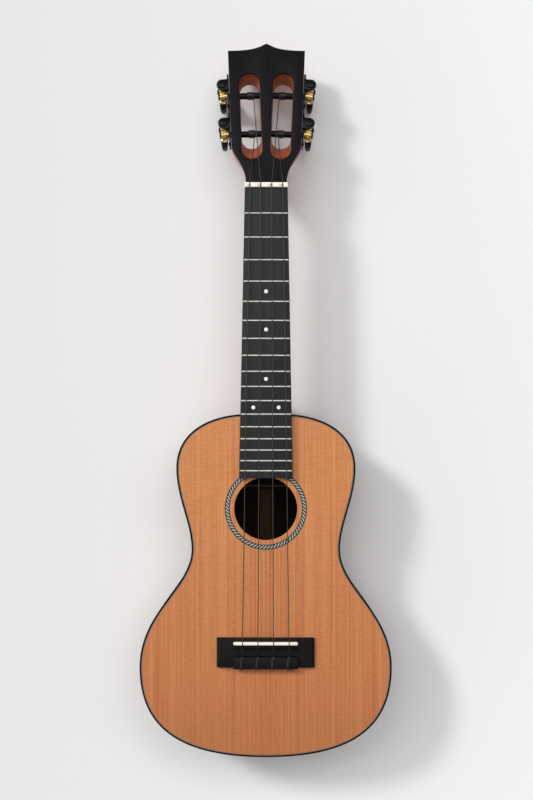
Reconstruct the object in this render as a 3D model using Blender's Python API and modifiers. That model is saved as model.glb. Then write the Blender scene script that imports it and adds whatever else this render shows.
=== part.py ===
"""Concert ukulele with a 15 inch scale, a slotted head and four geared tuners.

Metres, +Z up. It lies on its flat back with the head toward +Y, and the origin is the middle of
the back's outer face. Everything is modelled in the instrument's own frame first: y = 0 where
the neck meets the body, z = 0 on the face of the soundboard. One empty turns that frame by the
taper of the body, so that the back lies level.
"""
import math

import bmesh
import bpy
from mathutils import Matrix, Vector

# Clearance between seated faces
GAP = 0.0003

# Scale and fingerboard
SCALE_LENGTH = 0.381
FRET_COUNT = 17
BODY_FRET = 12
BOARD_THICKNESS = 0.005
BOARD_WIDTH_NUT = 0.0362
BOARD_WIDTH_BODY = 0.0433
BOARD_END = 0.054
FRET_WIDTH = 0.0018
FRET_HEIGHT = 0.001

# Body outline, half of it: how far out and how far down each bout lies, and its curve handles
BODY_LENGTH = 0.2915
BODY_FLAT = 0.021
UPPER_BOUT = 0.076
UPPER_BOUT_AT = 0.0458
WAIST = 0.063
WAIST_AT = 0.1146
LOWER_BOUT = 0.1072
LOWER_BOUT_AT = 0.2149
FLAT_HANDLE = 0.006
UPPER_HANDLES = (0.0423, 0.0251)
WAIST_HANDLES = (0.0217, 0.0318)
LOWER_HANDLES = (0.0473, 0.0555)
TAIL_HANDLE = 0.068
OUTLINE_STEPS = 8

# Body walls
DEPTH_NECK = 0.068
DEPTH_TAIL = 0.073
TOP_THICKNESS = 0.002
BACK_THICKNESS = 0.0022
SIDE_THICKNESS = 0.0023
BINDING_WIDTH = 0.0015
BINDING_HEIGHT = 0.0045
LINING_WIDTH = 0.0055
LINING_HEIGHT = 0.012
LINING_LIP = 0.003
BLOCK_WIDTH = 0.058
NECK_BLOCK_LENGTH = 0.02
TAIL_BLOCK_LENGTH = 0.013

# Soundhole and rosette
HOLE_AT = 0.08
HOLE_RADIUS = 0.0267
ROSETTE_INNER = 0.0304
ROSETTE_OUTER = 0.0351
ROSETTE_DEPTH = 0.001
RING_STEPS = 40

# Braces
BRACE_WIDTH = 0.007
TOP_BRACE_HEIGHT = 0.011
BACK_BRACE_HEIGHT = 0.01
BRACE_SCOOP = 0.025
UPPER_BRACE_AT = 0.036
LOWER_BRACE_AT = 0.124
BACK_BRACES_AT = (0.062, 0.114, 0.205)
FAN_WIDTH = 0.005
FAN_HEIGHT = 0.006
FAN_LEAD = 0.008
FAN_TAIL_ROOM = 0.0255
FAN_OFFSET = 0.026
FAN_ANGLE = 8.0
FAN_SCOOP = 0.03
STRIP_WIDTH = 0.0102
STRIP_THICKNESS = 0.002

# Neck
SHAFT_DEPTH_BODY = 0.0155
SHAFT_DEPTH_NUT = 0.0135
HEEL_WIDTH = 0.026
HEEL_LENGTH = 0.021
HEEL_SWEEP = 0.031
HEEL_WIDENING = 0.6
HEEL_CAP_THICKNESS = 0.0025
SHAFT_FULLNESS = 2
THROAT_FULLNESS = 2.5
HEAD_FULLNESS = 29.5
BOLT_RADIUS = 0.003
BOLT_CHAMFER = 0.0005
BOLT_HEAD_RADIUS = 0.0055
BOLT_HEAD_HEIGHT = 0.004
BOLT_DEPTH = 0.03
INSERT_RADIUS = 0.0047
INSERT_LENGTH = 0.013

# Head
HEAD_TILT = 12.0
HEAD_THICKNESS = 0.017
HEAD_FACE_RISE = -0.0004
HEADPLATE_THICKNESS = 0.002
HEAD_LENGTH = 0.1227
HEAD_PEAK = 0.0067
HEAD_THROAT_WIDTH = 0.0344
HEAD_CHEEK_AT = 0.0336
HEAD_CHEEK_WIDTH = 0.0592
HEAD_TIP_WIDTH = 0.0668
THROAT_HANDLE = (0.0001, 0.017)
CHEEK_HANDLE = (-0.0004, -0.0066)
TIP_CURVE = ((0.94, 0.0), (0.66, 0.05), (0.4, 0.22), (0.2, 0.52), (0.07, 0.85))
SLOT_WIDTH = 0.0186
SLOT_WIDTH_BACK = 0.0171
SLOT_START = 0.0206
SLOT_START_BACK = 0.0385
SLOT_FROM_TIP = 0.0219
SLOT_FROM_TIP_BACK = 0.024
RAIL_WIDTH = 0.0078

# Nut, bridge and saddle
NUT_LENGTH = 0.0044
NUT_HEIGHT = 0.0074
NUT_BEVEL = 0.0004
NUT_ROUND = ((0, 0.002), (0.0006, 0.0007), (0.0018, 0))
BRIDGE_LENGTH = 0.0828
BRIDGE_WIDTH = 0.0252
BRIDGE_FRONT = 0.1893
BRIDGE_MIDDLE = 0.0545
WING_HEIGHT = 0.0038
BRIDGE_HEIGHT = 0.008
RIDGE_WIDTH = 0.0084
TIE_BLOCK_WIDTH = 0.0102
CHANNEL_HEIGHT = 0.0034
BRIDGE_CORNER = 0.0008
BRIDGE_BEVEL = 0.0006
RIDGE_ROUND = 0.0012
WING_FALL = 0.0012
WING_SLOPE = 0.0026
SADDLE_AT = 0.1934
SADDLE_THICKNESS = 0.003
SADDLE_SLOT_DEPTH = 0.004
SADDLE_HEIGHT = 0.0111
SADDLE_ROUND = 0.0009
TIE_HOLE_RADIUS = 0.0009
TIE_HOLE_HEIGHT = 0.0052
TIE_LOOP_OFFSET = 0.0011
BRIDGE_PLATE_LENGTH = 0.096
BRIDGE_PLATE_WIDTH = 0.03
BRIDGE_PLATE_SCOOP = 0.004

# Strings
STRING_RADIUS = 0.00036
STRING_SPACING_NUT = 0.0092
STRING_SPACING_SADDLE = 0.0131
STRING_HEIGHT_NUT = 0.0068

# Tuners
POST_SPACING = 0.0357
POST_FROM_TIP = 0.0384
POST_DEPTH = 0.0095
POST_RADIUS = 0.0027
POST_IN_WEB = 0.0034
PLATE_LENGTH = 0.029
PLATE_HEIGHT = 0.012
PLATE_THICKNESS = 0.0015
PLATE_SHIFT = 0.0036
LUG_THICKNESS = 0.0015
CAP_THICKNESS = 0.0026
PIN_SEAT = 0.0015
LUG_RADIUS = 0.0047
LUG_CLEARANCE = 0.0008
GEAR_TEETH = 14
GEAR_MODULE = 0.00075
GEAR_THICKNESS = 0.0044
GEAR_BORE = 0.0019
GEAR_FROM_SIDE = 0.0062
GEAR_HUB_RADIUS = 0.0039
GEAR_SCREW_RADIUS = 0.0028
GEAR_SCREW_HEIGHT = 0.0012
TOOTH_SHARES = (0.27, 0.1)
WORM_RADIUS = 0.0025
WORM_PIN_RADIUS = 0.0013
TOOTH_CUT_BACK = 0.00015
THREAD_FOOT = 0.0005
THREAD_CREST = 0.0002
THREAD_STEPS = 10
BUTTON_LENGTH = 0.02
BUTTON_WIDTH = 0.0195
BUTTON_ROOT = 0.0074
BUTTON_TIP = 0.0034
BUTTON_FULLNESS = (0.3, 0.62)
BUTTON_FROM_POST = 0.0137
BUTTON_BORE_DEPTH = 0.008
WRAP_TURNS = 3
WRAP_PITCH = 0.0015
WRAP_FROM_WEB = 0.0075

TAPER = (DEPTH_TAIL - DEPTH_NECK) / BODY_LENGTH
NUT_AT = SCALE_LENGTH * (1 - 2 ** (-BODY_FRET / 12))
HEAD_AT = NUT_AT + GAP + NUT_LENGTH + GAP
HEAD_LEAN = math.atan2((HEAD_TIP_WIDTH - HEAD_CHEEK_WIDTH) / 2, HEAD_LENGTH - HEAD_CHEEK_AT)
PLATE_INSET = BINDING_WIDTH + GAP
INNER_INSET = SIDE_THICKNESS + GAP
LINED_INSET = INNER_INSET + LINING_WIDTH + GAP
UNDER_TOP = -TOP_THICKNESS - GAP
OVER_BACK = -DEPTH_NECK + BACK_THICKNESS + GAP
WORM_OFFSET = (GEAR_TEETH * GEAR_MODULE) / 2 + WORM_RADIUS
THREAD_LEAD = math.pi * GEAR_MODULE
LUG_FROM_POST = GEAR_TEETH * GEAR_MODULE / 2 - GEAR_MODULE + LUG_CLEARANCE
RIGHT, LEFT = 1, -1


# Scene, materials and objects

def empty_scene():
    for old in list(bpy.data.objects):
        bpy.data.objects.remove(old)
    parts = bpy.data.collections.new("concert_ukulele")
    cutters = bpy.data.collections.new("cutters")
    bpy.context.scene.collection.children.link(parts)
    bpy.context.scene.collection.children.link(cutters)
    return parts, cutters


def finish(name, colour, roughness, metallic=0.0):
    made = bpy.data.materials.new(name)
    made.use_nodes = True
    shader = made.node_tree.nodes["Principled BSDF"]
    shader.inputs["Base Color"].default_value = (*colour, 1)
    shader.inputs["Roughness"].default_value = roughness
    shader.inputs["Metallic"].default_value = metallic
    return made


PARTS, CUTTERS = empty_scene()
CEDAR = finish("cedar", (0.58, 0.24, 0.09), 0.45)
MAHOGANY = finish("mahogany", (0.24, 0.07, 0.035), 0.4)
SPRUCE = finish("spruce", (0.66, 0.48, 0.27), 0.6)
EBONY = finish("ebony", (0.02, 0.018, 0.017), 0.45)
BINDING = finish("binding", (0.012, 0.012, 0.012), 0.3)
MARQUETRY = finish("marquetry", (0.35, 0.3, 0.24), 0.4)
BONE = finish("bone", (0.85, 0.8, 0.68), 0.35)
NYLON = finish("nylon", (0.07, 0.06, 0.055), 0.35)
BLACK_METAL = finish("black_metal", (0.015, 0.015, 0.016), 0.35, 1.0)
BRASS = finish("brass", (0.75, 0.5, 0.17), 0.3, 1.0)
STEEL = finish("steel", (0.5, 0.5, 0.5), 0.35, 1.0)
BUTTON_RESIN = finish("button_resin", (0.012, 0.012, 0.013), 0.3)


def frame(name, parent, matrix):
    made = bpy.data.objects.new(name, None)
    PARTS.objects.link(made)
    made.parent = parent
    made.matrix_local = matrix
    return made


def part(name, mesh, material, parent, matrix=Matrix()):
    """A sub-part: its own object, with its own finish, placed in its parent's frame."""
    made = bpy.data.objects.new(name, mesh)
    mesh.name = name
    mesh.materials.clear()
    mesh.materials.append(material)
    PARTS.objects.link(made)
    made.parent = parent
    made.matrix_local = matrix
    return made


def cutter(name, mesh, parent, matrix=Matrix()):
    made = bpy.data.objects.new(name, mesh)
    CUTTERS.objects.link(made)
    made.parent = parent
    made.matrix_local = matrix
    made.hide_render = True
    made.display_type = "WIRE"
    return made


def boolean(target, tool, operation="DIFFERENCE"):
    step = target.modifiers.new(tool.name, "BOOLEAN")
    step.operation = operation
    step.solver = "EXACT"
    step.object = tool


def smooth(made, angle=35.0):
    made.data.shade_smooth()
    made.data.set_sharp_from_angle(angle=math.radians(angle))
    return made


# Meshes

def mesh_from(bm, name):
    bmesh.ops.remove_doubles(bm, verts=bm.verts, dist=1e-7)
    bmesh.ops.recalc_face_normals(bm, faces=bm.faces)
    mesh = bpy.data.meshes.new(name)
    bm.to_mesh(mesh)
    bm.free()
    return mesh


def mesh_of_curve(curve, name):
    """The evaluated mesh of a curve, with its loose caps welded on."""
    holder = bpy.data.objects.new(name, curve)
    CUTTERS.objects.link(holder)
    bpy.context.view_layer.update()
    graph = bpy.context.evaluated_depsgraph_get()
    raw = bpy.data.meshes.new_from_object(holder.evaluated_get(graph))
    bpy.data.objects.remove(holder)
    bm = bmesh.new()
    bm.from_mesh(raw)
    return mesh_from(bm, name)


def slice_off(mesh, point, normal):
    """Removes what lies beyond a plane, on the side that its normal points to, and closes the cut."""
    bm = bmesh.new()
    bm.from_mesh(mesh)
    geometry = bm.verts[:] + bm.edges[:] + bm.faces[:]
    bmesh.ops.bisect_plane(bm, geom=geometry, plane_co=point, plane_no=normal, clear_outer=True)
    open_edges = [edge for edge in bm.edges if edge.is_boundary]
    bmesh.ops.holes_fill(bm, edges=open_edges, sides=0)
    bm.to_mesh(mesh)
    bm.free()
    return mesh


def mirrored(mesh, name):
    bm = bmesh.new()
    bm.from_mesh(mesh)
    bmesh.ops.scale(bm, vec=(-1, 1, 1), verts=bm.verts)
    bmesh.ops.reverse_faces(bm, faces=bm.faces)
    copy = bpy.data.meshes.new(name)
    bm.to_mesh(copy)
    bm.free()
    return copy


def handed(mesh, side, name):
    return mirrored(mesh, name) if side == LEFT else mesh


def box(size, centre, bevel=0.0, segments=2):
    bm = bmesh.new()
    bmesh.ops.create_cube(bm, size=1)
    bmesh.ops.scale(bm, vec=size, verts=bm.verts)
    bmesh.ops.translate(bm, vec=centre, verts=bm.verts)
    if bevel:
        bmesh.ops.bevel(bm, geom=bm.edges[:], offset=bevel, segments=segments, affect="EDGES")
    return mesh_from(bm, "box")


def cylinder(radius, start, end, steps=24):
    """A cylinder between two points."""
    start, end = Vector(start), Vector(end)
    turn = (end - start).to_track_quat("Z", "Y").to_matrix().to_4x4()
    bm = bmesh.new()
    bmesh.ops.create_cone(bm, cap_ends=True, segments=steps, radius1=radius, radius2=radius,
                          depth=(end - start).length,
                          matrix=Matrix.Translation((start + end) / 2) @ turn)
    return mesh_from(bm, "cylinder")


def flat_curve(name, loops, thickness):
    """A filled outline, extruded evenly about z = 0. Loops inside the first are holes."""
    curve = bpy.data.curves.new(name, "CURVE")
    curve.dimensions = "2D"
    curve.fill_mode = "BOTH"
    curve.extrude = thickness / 2
    for loop in loops:
        spline = curve.splines.new("POLY")
        spline.points.add(len(loop) - 1)
        for point, (x, y) in zip(spline.points, loop):
            point.co = (x, y, 0, 1)
        spline.use_cyclic_u = True
    return curve


def prism(name, loops, bottom, top):
    """An outline in x and y, from one height to another."""
    mesh = mesh_of_curve(flat_curve(name, loops, top - bottom), name)
    mesh.transform(Matrix.Translation((0, 0, (bottom + top) / 2)))
    return mesh


def side_prism(name, loop, width):
    """An outline in y and z, as wide along x as given and centred on x = 0."""
    mesh = mesh_of_curve(flat_curve(name, [loop], width), name)
    mesh.transform(Matrix(((0, 0, 1), (1, 0, 0), (0, 1, 0))).to_4x4())
    return mesh


def circle(radius, steps, centre=(0, 0)):
    turns = [2 * math.pi * step / steps for step in range(steps)]
    return [(centre[0] + radius * math.cos(a), centre[1] + radius * math.sin(a)) for a in turns]


def turned(name, profile, steps):
    """A profile of (radius, height) from top to bottom, turned about z."""
    bm = bmesh.new()
    corners = [bm.verts.new((radius, 0, height)) for radius, height in profile]
    for first, second in zip(corners, corners[1:]):
        bm.edges.new((first, second))
    mesh = bpy.data.meshes.new(name)
    bm.to_mesh(mesh)
    bm.free()
    holder = bpy.data.objects.new(name, mesh)
    CUTTERS.objects.link(holder)
    screw = holder.modifiers.new("turn", "SCREW")
    screw.steps = screw.render_steps = steps
    screw.use_merge_vertices = True
    screw.merge_threshold = 1e-6
    bpy.context.view_layer.update()
    graph = bpy.context.evaluated_depsgraph_get()
    solid = bpy.data.meshes.new_from_object(holder.evaluated_get(graph))
    bpy.data.objects.remove(holder)
    bm = bmesh.new()
    bm.from_mesh(solid)
    return mesh_from(bm, name)


def tube(name, points, radius, resolution=1):
    curve = bpy.data.curves.new(name, "CURVE")
    curve.dimensions = "3D"
    curve.bevel_depth = radius
    curve.bevel_resolution = resolution
    curve.use_fill_caps = True
    spline = curve.splines.new("POLY")
    spline.points.add(len(points) - 1)
    for point, place in zip(spline.points, points):
        point.co = (*place, 1)
    return mesh_of_curve(curve, name)


def loft(name, rings):
    """A closed skin through rings of as many points each, with a flat face at either end."""
    bm = bmesh.new()
    rows = [[bm.verts.new(point) for point in ring] for ring in rings]
    for low, high in zip(rows, rows[1:]):
        for index in range(len(low)):
            after = (index + 1) % len(low)
            bm.faces.new((low[index], low[after], high[after], high[index]))
    bm.faces.new(rows[0])
    bm.faces.new(rows[-1])
    return mesh_from(bm, name)


# Body outline

def outline_knots():
    """Knots of the right half, from the neck to the tail: place, handle before, handle after."""
    return (
        ((BODY_FLAT, 0), (-FLAT_HANDLE, 0), (FLAT_HANDLE, 0)),
        ((UPPER_BOUT, -UPPER_BOUT_AT), (0, UPPER_HANDLES[0]), (0, -UPPER_HANDLES[1])),
        ((WAIST, -WAIST_AT), (0, WAIST_HANDLES[0]), (0, -WAIST_HANDLES[1])),
        ((LOWER_BOUT, -LOWER_BOUT_AT), (0, LOWER_HANDLES[0]), (0, -LOWER_HANDLES[1])),
        ((0, -BODY_LENGTH), (TAIL_HANDLE, 0), (-TAIL_HANDLE, 0)),
    )


def outline_curve(name, closed):
    """The body's outline as a curve: all round, or the right half from neck to tail."""
    knots = [tuple(Vector(value) for value in knot) for knot in outline_knots()]
    if closed:
        flip = Matrix.Scale(-1, 2, (1, 0))
        others = [(flip @ at, flip @ after, flip @ before) for at, before, after in knots[-2::-1]]
        knots = knots + others
    else:
        knots = [(Vector((0, 0)), Vector((0, 0)), Vector((FLAT_HANDLE, 0)))] + knots
    curve = bpy.data.curves.new(name, "CURVE")
    curve.dimensions = "2D"
    curve.resolution_u = OUTLINE_STEPS
    spline = curve.splines.new("BEZIER")
    spline.bezier_points.add(len(knots) - 1)
    spline.use_cyclic_u = closed
    for point, (at, before, after) in zip(spline.bezier_points, knots):
        point.handle_left_type = point.handle_right_type = "FREE"
        point.co = (*at, 0)
        point.handle_left = (*(at + before), 0)
        point.handle_right = (*(at + after), 0)
    return curve


def body_plate(name, inset, bottom, top):
    """A plate of the body's outline, drawn in by an inset."""
    curve = outline_curve(name, True)
    curve.fill_mode = "BOTH"
    curve.extrude = (top - bottom) / 2
    curve.offset = -inset
    mesh = mesh_of_curve(curve, name)
    mesh.transform(Matrix.Translation((0, 0, (bottom + top) / 2)))
    return mesh


def moulding(name, section, closed):
    """A section of (inset, height) points, run along the body's outline."""
    profile = bpy.data.curves.new(name + "_section", "CURVE")
    profile.dimensions = "2D"
    spline = profile.splines.new("POLY")
    spline.points.add(len(section) - 1)
    for point, (inset, height) in zip(spline.points, section):
        point.co = (inset, height, 0, 1)
    spline.use_cyclic_u = True
    holder = bpy.data.objects.new(name + "_section", profile)
    CUTTERS.objects.link(holder)
    curve = outline_curve(name, closed)
    curve.bevel_mode = "OBJECT"
    curve.bevel_object = holder
    curve.use_fill_caps = not closed
    mesh = mesh_of_curve(curve, name)
    bpy.data.objects.remove(holder)
    return mesh


def follow_back(mesh):
    """Slopes the lower half of a piece with the back, which falls away toward the tail."""
    for vertex in mesh.vertices:
        if vertex.co.z < -DEPTH_NECK / 2:
            vertex.co.z += TAPER * vertex.co.y
    return mesh


def body_half_width(y, inset):
    """How far from the centreline the outline lies at y, drawn in by an inset."""
    edge = body_plate("probe", inset, -GAP, GAP)
    best = 0.0
    for line in edge.edges:
        first, second = (edge.vertices[index].co for index in line.vertices)
        if first.x > 0 and second.x > 0 and (first.y - y) * (second.y - y) <= 0 and first.y != second.y:
            share = (y - first.y) / (second.y - first.y)
            best = max(best, first.x + share * (second.x - first.x))
    bpy.data.meshes.remove(edge)
    return best


# Body

def make_plates(root):
    top = part("soundboard", body_plate("soundboard", PLATE_INSET, -TOP_THICKNESS, 0), CEDAR, root)
    hole = cylinder(HOLE_RADIUS, (0, -HOLE_AT, -2 * TOP_THICKNESS), (0, -HOLE_AT, TOP_THICKNESS), RING_STEPS)
    boolean(top, cutter("soundhole_cut", hole, root))
    centre = (0, -HOLE_AT)
    groove = [circle(ROSETTE_OUTER + GAP, RING_STEPS, centre), circle(ROSETTE_INNER - GAP, RING_STEPS, centre)]
    channel = prism("rosette_channel", groove, -ROSETTE_DEPTH - GAP, TOP_THICKNESS)
    boolean(top, cutter("rosette_channel", channel, root))
    rings = [circle(ROSETTE_OUTER, RING_STEPS, centre), circle(ROSETTE_INNER, RING_STEPS, centre)]
    part("rosette", prism("rosette", rings, -ROSETTE_DEPTH, 0), MARQUETRY, root)
    low = -DEPTH_NECK
    back = follow_back(body_plate("back", PLATE_INSET, low, low + BACK_THICKNESS))
    part("back", back, MAHOGANY, root)


def make_sides(root):
    """Two bent sides with a rebate at either edge for the binding, and the bindings in it."""
    low = -DEPTH_NECK
    section = (
        (PLATE_INSET, UNDER_TOP),
        (SIDE_THICKNESS, UNDER_TOP),
        (SIDE_THICKNESS, OVER_BACK),
        (PLATE_INSET, OVER_BACK),
        (PLATE_INSET, low + BINDING_HEIGHT + GAP),
        (0, low + BINDING_HEIGHT + GAP),
        (0, -BINDING_HEIGHT - GAP),
        (PLATE_INSET, -BINDING_HEIGHT - GAP),
    )
    side = slice_off(moulding("side", section, False), (GAP / 2, 0, 0), (-1, 0, 0))
    follow_back(side)
    right = part("side_right", side, MAHOGANY, root)
    left = part("side_left", mirrored(side, "side_left"), MAHOGANY, root)
    edge = ((0, 0), (BINDING_WIDTH, 0), (BINDING_WIDTH, -BINDING_HEIGHT), (0, -BINDING_HEIGHT))
    part("binding_top", moulding("binding_top", edge, True), BINDING, root)
    lower = [(inset, low + BINDING_HEIGHT + height) for inset, height in edge]
    part("binding_back", follow_back(moulding("binding_back", lower, True)), BINDING, root)
    return right, left


def make_linings(root):
    """Glue strips between the sides and the plates, cut off where the end blocks stand."""
    near = INNER_INSET
    far = INNER_INSET + LINING_WIDTH
    kinds = (("top", UNDER_TOP, -1), ("back", OVER_BACK, 1))
    for kind, level, way in kinds:
        section = ((near, level), (far, level), (far, level + way * LINING_LIP),
                   (near, level + way * LINING_HEIGHT))
        strip = moulding("lining", section, False)
        slice_off(strip, (BLOCK_WIDTH / 2 + GAP, 0, 0), (-1, 0, 0))
        follow_back(strip)
        part(kind + "_lining_right", strip, SPRUCE, root)
        part(kind + "_lining_left", mirrored(strip, kind), SPRUCE, root)


def make_blocks(root):
    """Neck and tail blocks, whose outer faces follow the inside of the sides."""
    half = BLOCK_WIDTH / 2
    neck_end = -INNER_INSET - NECK_BLOCK_LENGTH
    tail_end = -BODY_LENGTH + INNER_INSET + TAIL_BLOCK_LENGTH
    made = []
    for name, end, way in (("neck_block", neck_end, -1), ("tail_block", tail_end, 1)):
        mesh = body_plate(name, INNER_INSET, OVER_BACK, UNDER_TOP)
        slice_off(mesh, (half, 0, 0), (1, 0, 0))
        slice_off(mesh, (-half, 0, 0), (-1, 0, 0))
        slice_off(mesh, (0, end, 0), (0, way, 0))
        made.append(part(name, follow_back(mesh), MAHOGANY, root))
    return made[0]


def brace_mesh(name, length, width, height, ends):
    """A brace standing on z = 0 along y, with its ends scooped down to thin tips."""
    half = length / 2
    tip = height / 4
    scoop = [(half - ends * (1 - share), tip + (height - tip) * (1 - share) ** 2)
             for share in (0, 0.25, 0.5, 0.75, 1)]
    loop = [(-half, 0), (half, 0)] + scoop[::-1] + [(-y, z) for y, z in scoop]
    return side_prism(name, loop, width)


def lay(mesh, x, y, z, turn, under):
    """Places a brace on its seat, turned about z, hanging under a plate or standing on it."""
    flip = Matrix.Rotation(math.pi, 4, "Y") if under else Matrix()
    mesh.transform(Matrix.Translation((x, y, z)) @ Matrix.Rotation(math.radians(turn), 4, "Z") @ flip)
    return mesh


def cross_brace_length(y, width):
    """The room across the body between the linings, at both edges of a brace."""
    return 2 * min(body_half_width(y - width / 2, LINED_INSET), body_half_width(y + width / 2, LINED_INSET))


def make_braces(root):
    plate_z = UNDER_TOP - TOP_THICKNESS
    plate_at = -BRIDGE_FRONT - BRIDGE_WIDTH / 2
    half = BRIDGE_PLATE_LENGTH / 2
    loop = [(-half, 0), (half, 0), (half - BRIDGE_PLATE_SCOOP, -TOP_THICKNESS),
            (BRIDGE_PLATE_SCOOP - half, -TOP_THICKNESS)]
    plate = side_prism("bridge_plate", loop, BRIDGE_PLATE_WIDTH)
    plate.transform(Matrix.Translation((0, plate_at, UNDER_TOP)) @ Matrix.Rotation(math.pi / 2, 4, "Z"))
    part("bridge_plate", plate, SPRUCE, root)
    room = box((BRIDGE_PLATE_LENGTH + 2 * GAP, BRIDGE_PLATE_WIDTH + 2 * GAP, 2 * TOP_THICKNESS),
               (0, plate_at, plate_z + TOP_THICKNESS - GAP))
    notch = cutter("bridge_plate_notch", room, root)

    for name, at in (("upper_top_brace", -UPPER_BRACE_AT), ("lower_top_brace", -LOWER_BRACE_AT)):
        length = cross_brace_length(at, BRACE_WIDTH)
        mesh = brace_mesh(name, length, BRACE_WIDTH, TOP_BRACE_HEIGHT, BRACE_SCOOP)
        part(name, lay(mesh, 0, at, UNDER_TOP, 90, True), SPRUCE, root)

    fan_start = LOWER_BRACE_AT + FAN_LEAD
    fan_end = BODY_LENGTH - FAN_TAIL_ROOM
    fan_length = fan_end - fan_start
    middle = -(fan_start + fan_end) / 2
    for name, way in (("fan_brace_left", -1), ("fan_brace_middle", 0), ("fan_brace_right", 1)):
        mesh = brace_mesh(name, fan_length, FAN_WIDTH, FAN_HEIGHT, FAN_SCOOP)
        fan = lay(mesh, way * FAN_OFFSET, middle, UNDER_TOP, way * FAN_ANGLE, True)
        boolean(part(name, fan, SPRUCE, root), notch)

    strip_length = BODY_LENGTH - 2 * INNER_INSET - NECK_BLOCK_LENGTH - TAIL_BLOCK_LENGTH - 2 * GAP
    strip_at = -INNER_INSET - NECK_BLOCK_LENGTH - GAP - strip_length / 2
    strip = box((STRIP_WIDTH, strip_length, STRIP_THICKNESS),
                (0, strip_at, OVER_BACK + STRIP_THICKNESS / 2))
    part("back_centre_strip", follow_back(strip), SPRUCE, root)
    room = box((STRIP_WIDTH + 2 * GAP, strip_length, 2 * STRIP_THICKNESS + 2 * GAP),
               (0, strip_at, OVER_BACK))
    notch = cutter("centre_strip_notch", follow_back(room), root)
    for name, at in zip(("upper", "waist", "lower"), BACK_BRACES_AT):
        length = cross_brace_length(-at, BRACE_WIDTH)
        mesh = brace_mesh(name, length, BRACE_WIDTH, BACK_BRACE_HEIGHT, BRACE_SCOOP)
        brace = follow_back(lay(mesh, 0, -at, OVER_BACK, 90, False))
        boolean(part("back_brace_" + name, brace, SPRUCE, root), notch)


# Neck

def board_half_width(y):
    share = (NUT_AT - y) / NUT_AT
    return (BOARD_WIDTH_NUT + (BOARD_WIDTH_BODY - BOARD_WIDTH_NUT) * share) / 2


def head_plane(y, depth):
    """Height of the plane that lies under the head's face by a depth, at y."""
    tilt = math.radians(HEAD_TILT)
    return HEAD_FACE_RISE - depth / math.cos(tilt) - (y - HEAD_AT) * math.tan(tilt)


def flare_point(share):
    """A point of the cheek's curve in the head's frame: half width and distance along the head."""
    ends = (HEAD_THROAT_WIDTH / 2, 0), (HEAD_CHEEK_WIDTH / 2, HEAD_CHEEK_AT)
    handles = [(end[0] + handle[0], end[1] + handle[1])
               for end, handle in zip(ends, (THROAT_HANDLE, CHEEK_HANDLE))]
    knots = (ends[0], handles[0], handles[1], ends[1])
    rest = 1 - share
    weights = (rest ** 3, 3 * rest ** 2 * share, 3 * rest * share ** 2, share ** 3)
    return tuple(sum(weight * knot[axis] for weight, knot in zip(weights, knots)) for axis in (0, 1))


def neck_section(y, half_width, top, depth, fullness, web=0.0, points=8):
    """Half an ellipse under the fingerboard, filling out to a box at the head.

    web is the half width that the heel has at the cap. The shaft and the heel's web are blended
    where they meet.
    """
    ring = []
    shaft = SHAFT_DEPTH_BODY if web else depth
    for index in range(points):
        angle = math.pi / 2 * index / (points - 1)
        down = depth * math.sin(angle) ** (2 / fullness)
        inside = max(0.0, 1 - (down / shaft) ** fullness)
        width = half_width * inside ** (1 / fullness)
        if web:
            width = (width ** 3 + heel_web(y, down, web) ** 3) ** (1 / 3)
            width = min(width, half_width)
        ring.append((width, y, top - down))
    return ring + [(-x, at, z) for x, at, z in ring[::-1]]


def heel_reach(down):
    """How far the heel reaches from the body at a depth: a quarter circle up into the shaft."""
    low = SHAFT_DEPTH_BODY + HEEL_SWEEP
    if down >= low:
        return HEEL_LENGTH
    share = min(1.0, (low - down) / HEEL_SWEEP)
    return HEEL_LENGTH + HEEL_SWEEP * (1 - math.sqrt(1 - share ** 2))


def heel_web(y, down, web):
    """Half width of the heel at a place: full at the body, round at its front, wider at the top."""
    reach = heel_reach(down)
    if y >= reach:
        return 0.0
    widen = max(0.0, 1 - down / DEPTH_NECK) * (BOARD_WIDTH_BODY / 2 - web) * HEEL_WIDENING
    return (web + widen) * math.sqrt(1 - (y / reach) ** 2)


def heel_depth(y):
    """Depth of the neck below the fingerboard's seat along the heel and the shaft."""
    floor = DEPTH_NECK - TAPER * y - HEEL_CAP_THICKNESS - GAP
    if y < HEEL_LENGTH:
        return floor
    share = min(1.0, (y - HEEL_LENGTH) / HEEL_SWEEP)
    curve = SHAFT_DEPTH_BODY + HEEL_SWEEP - HEEL_SWEEP * math.sqrt(1 - (1 - share) ** 2)
    return min(floor, curve)


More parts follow.
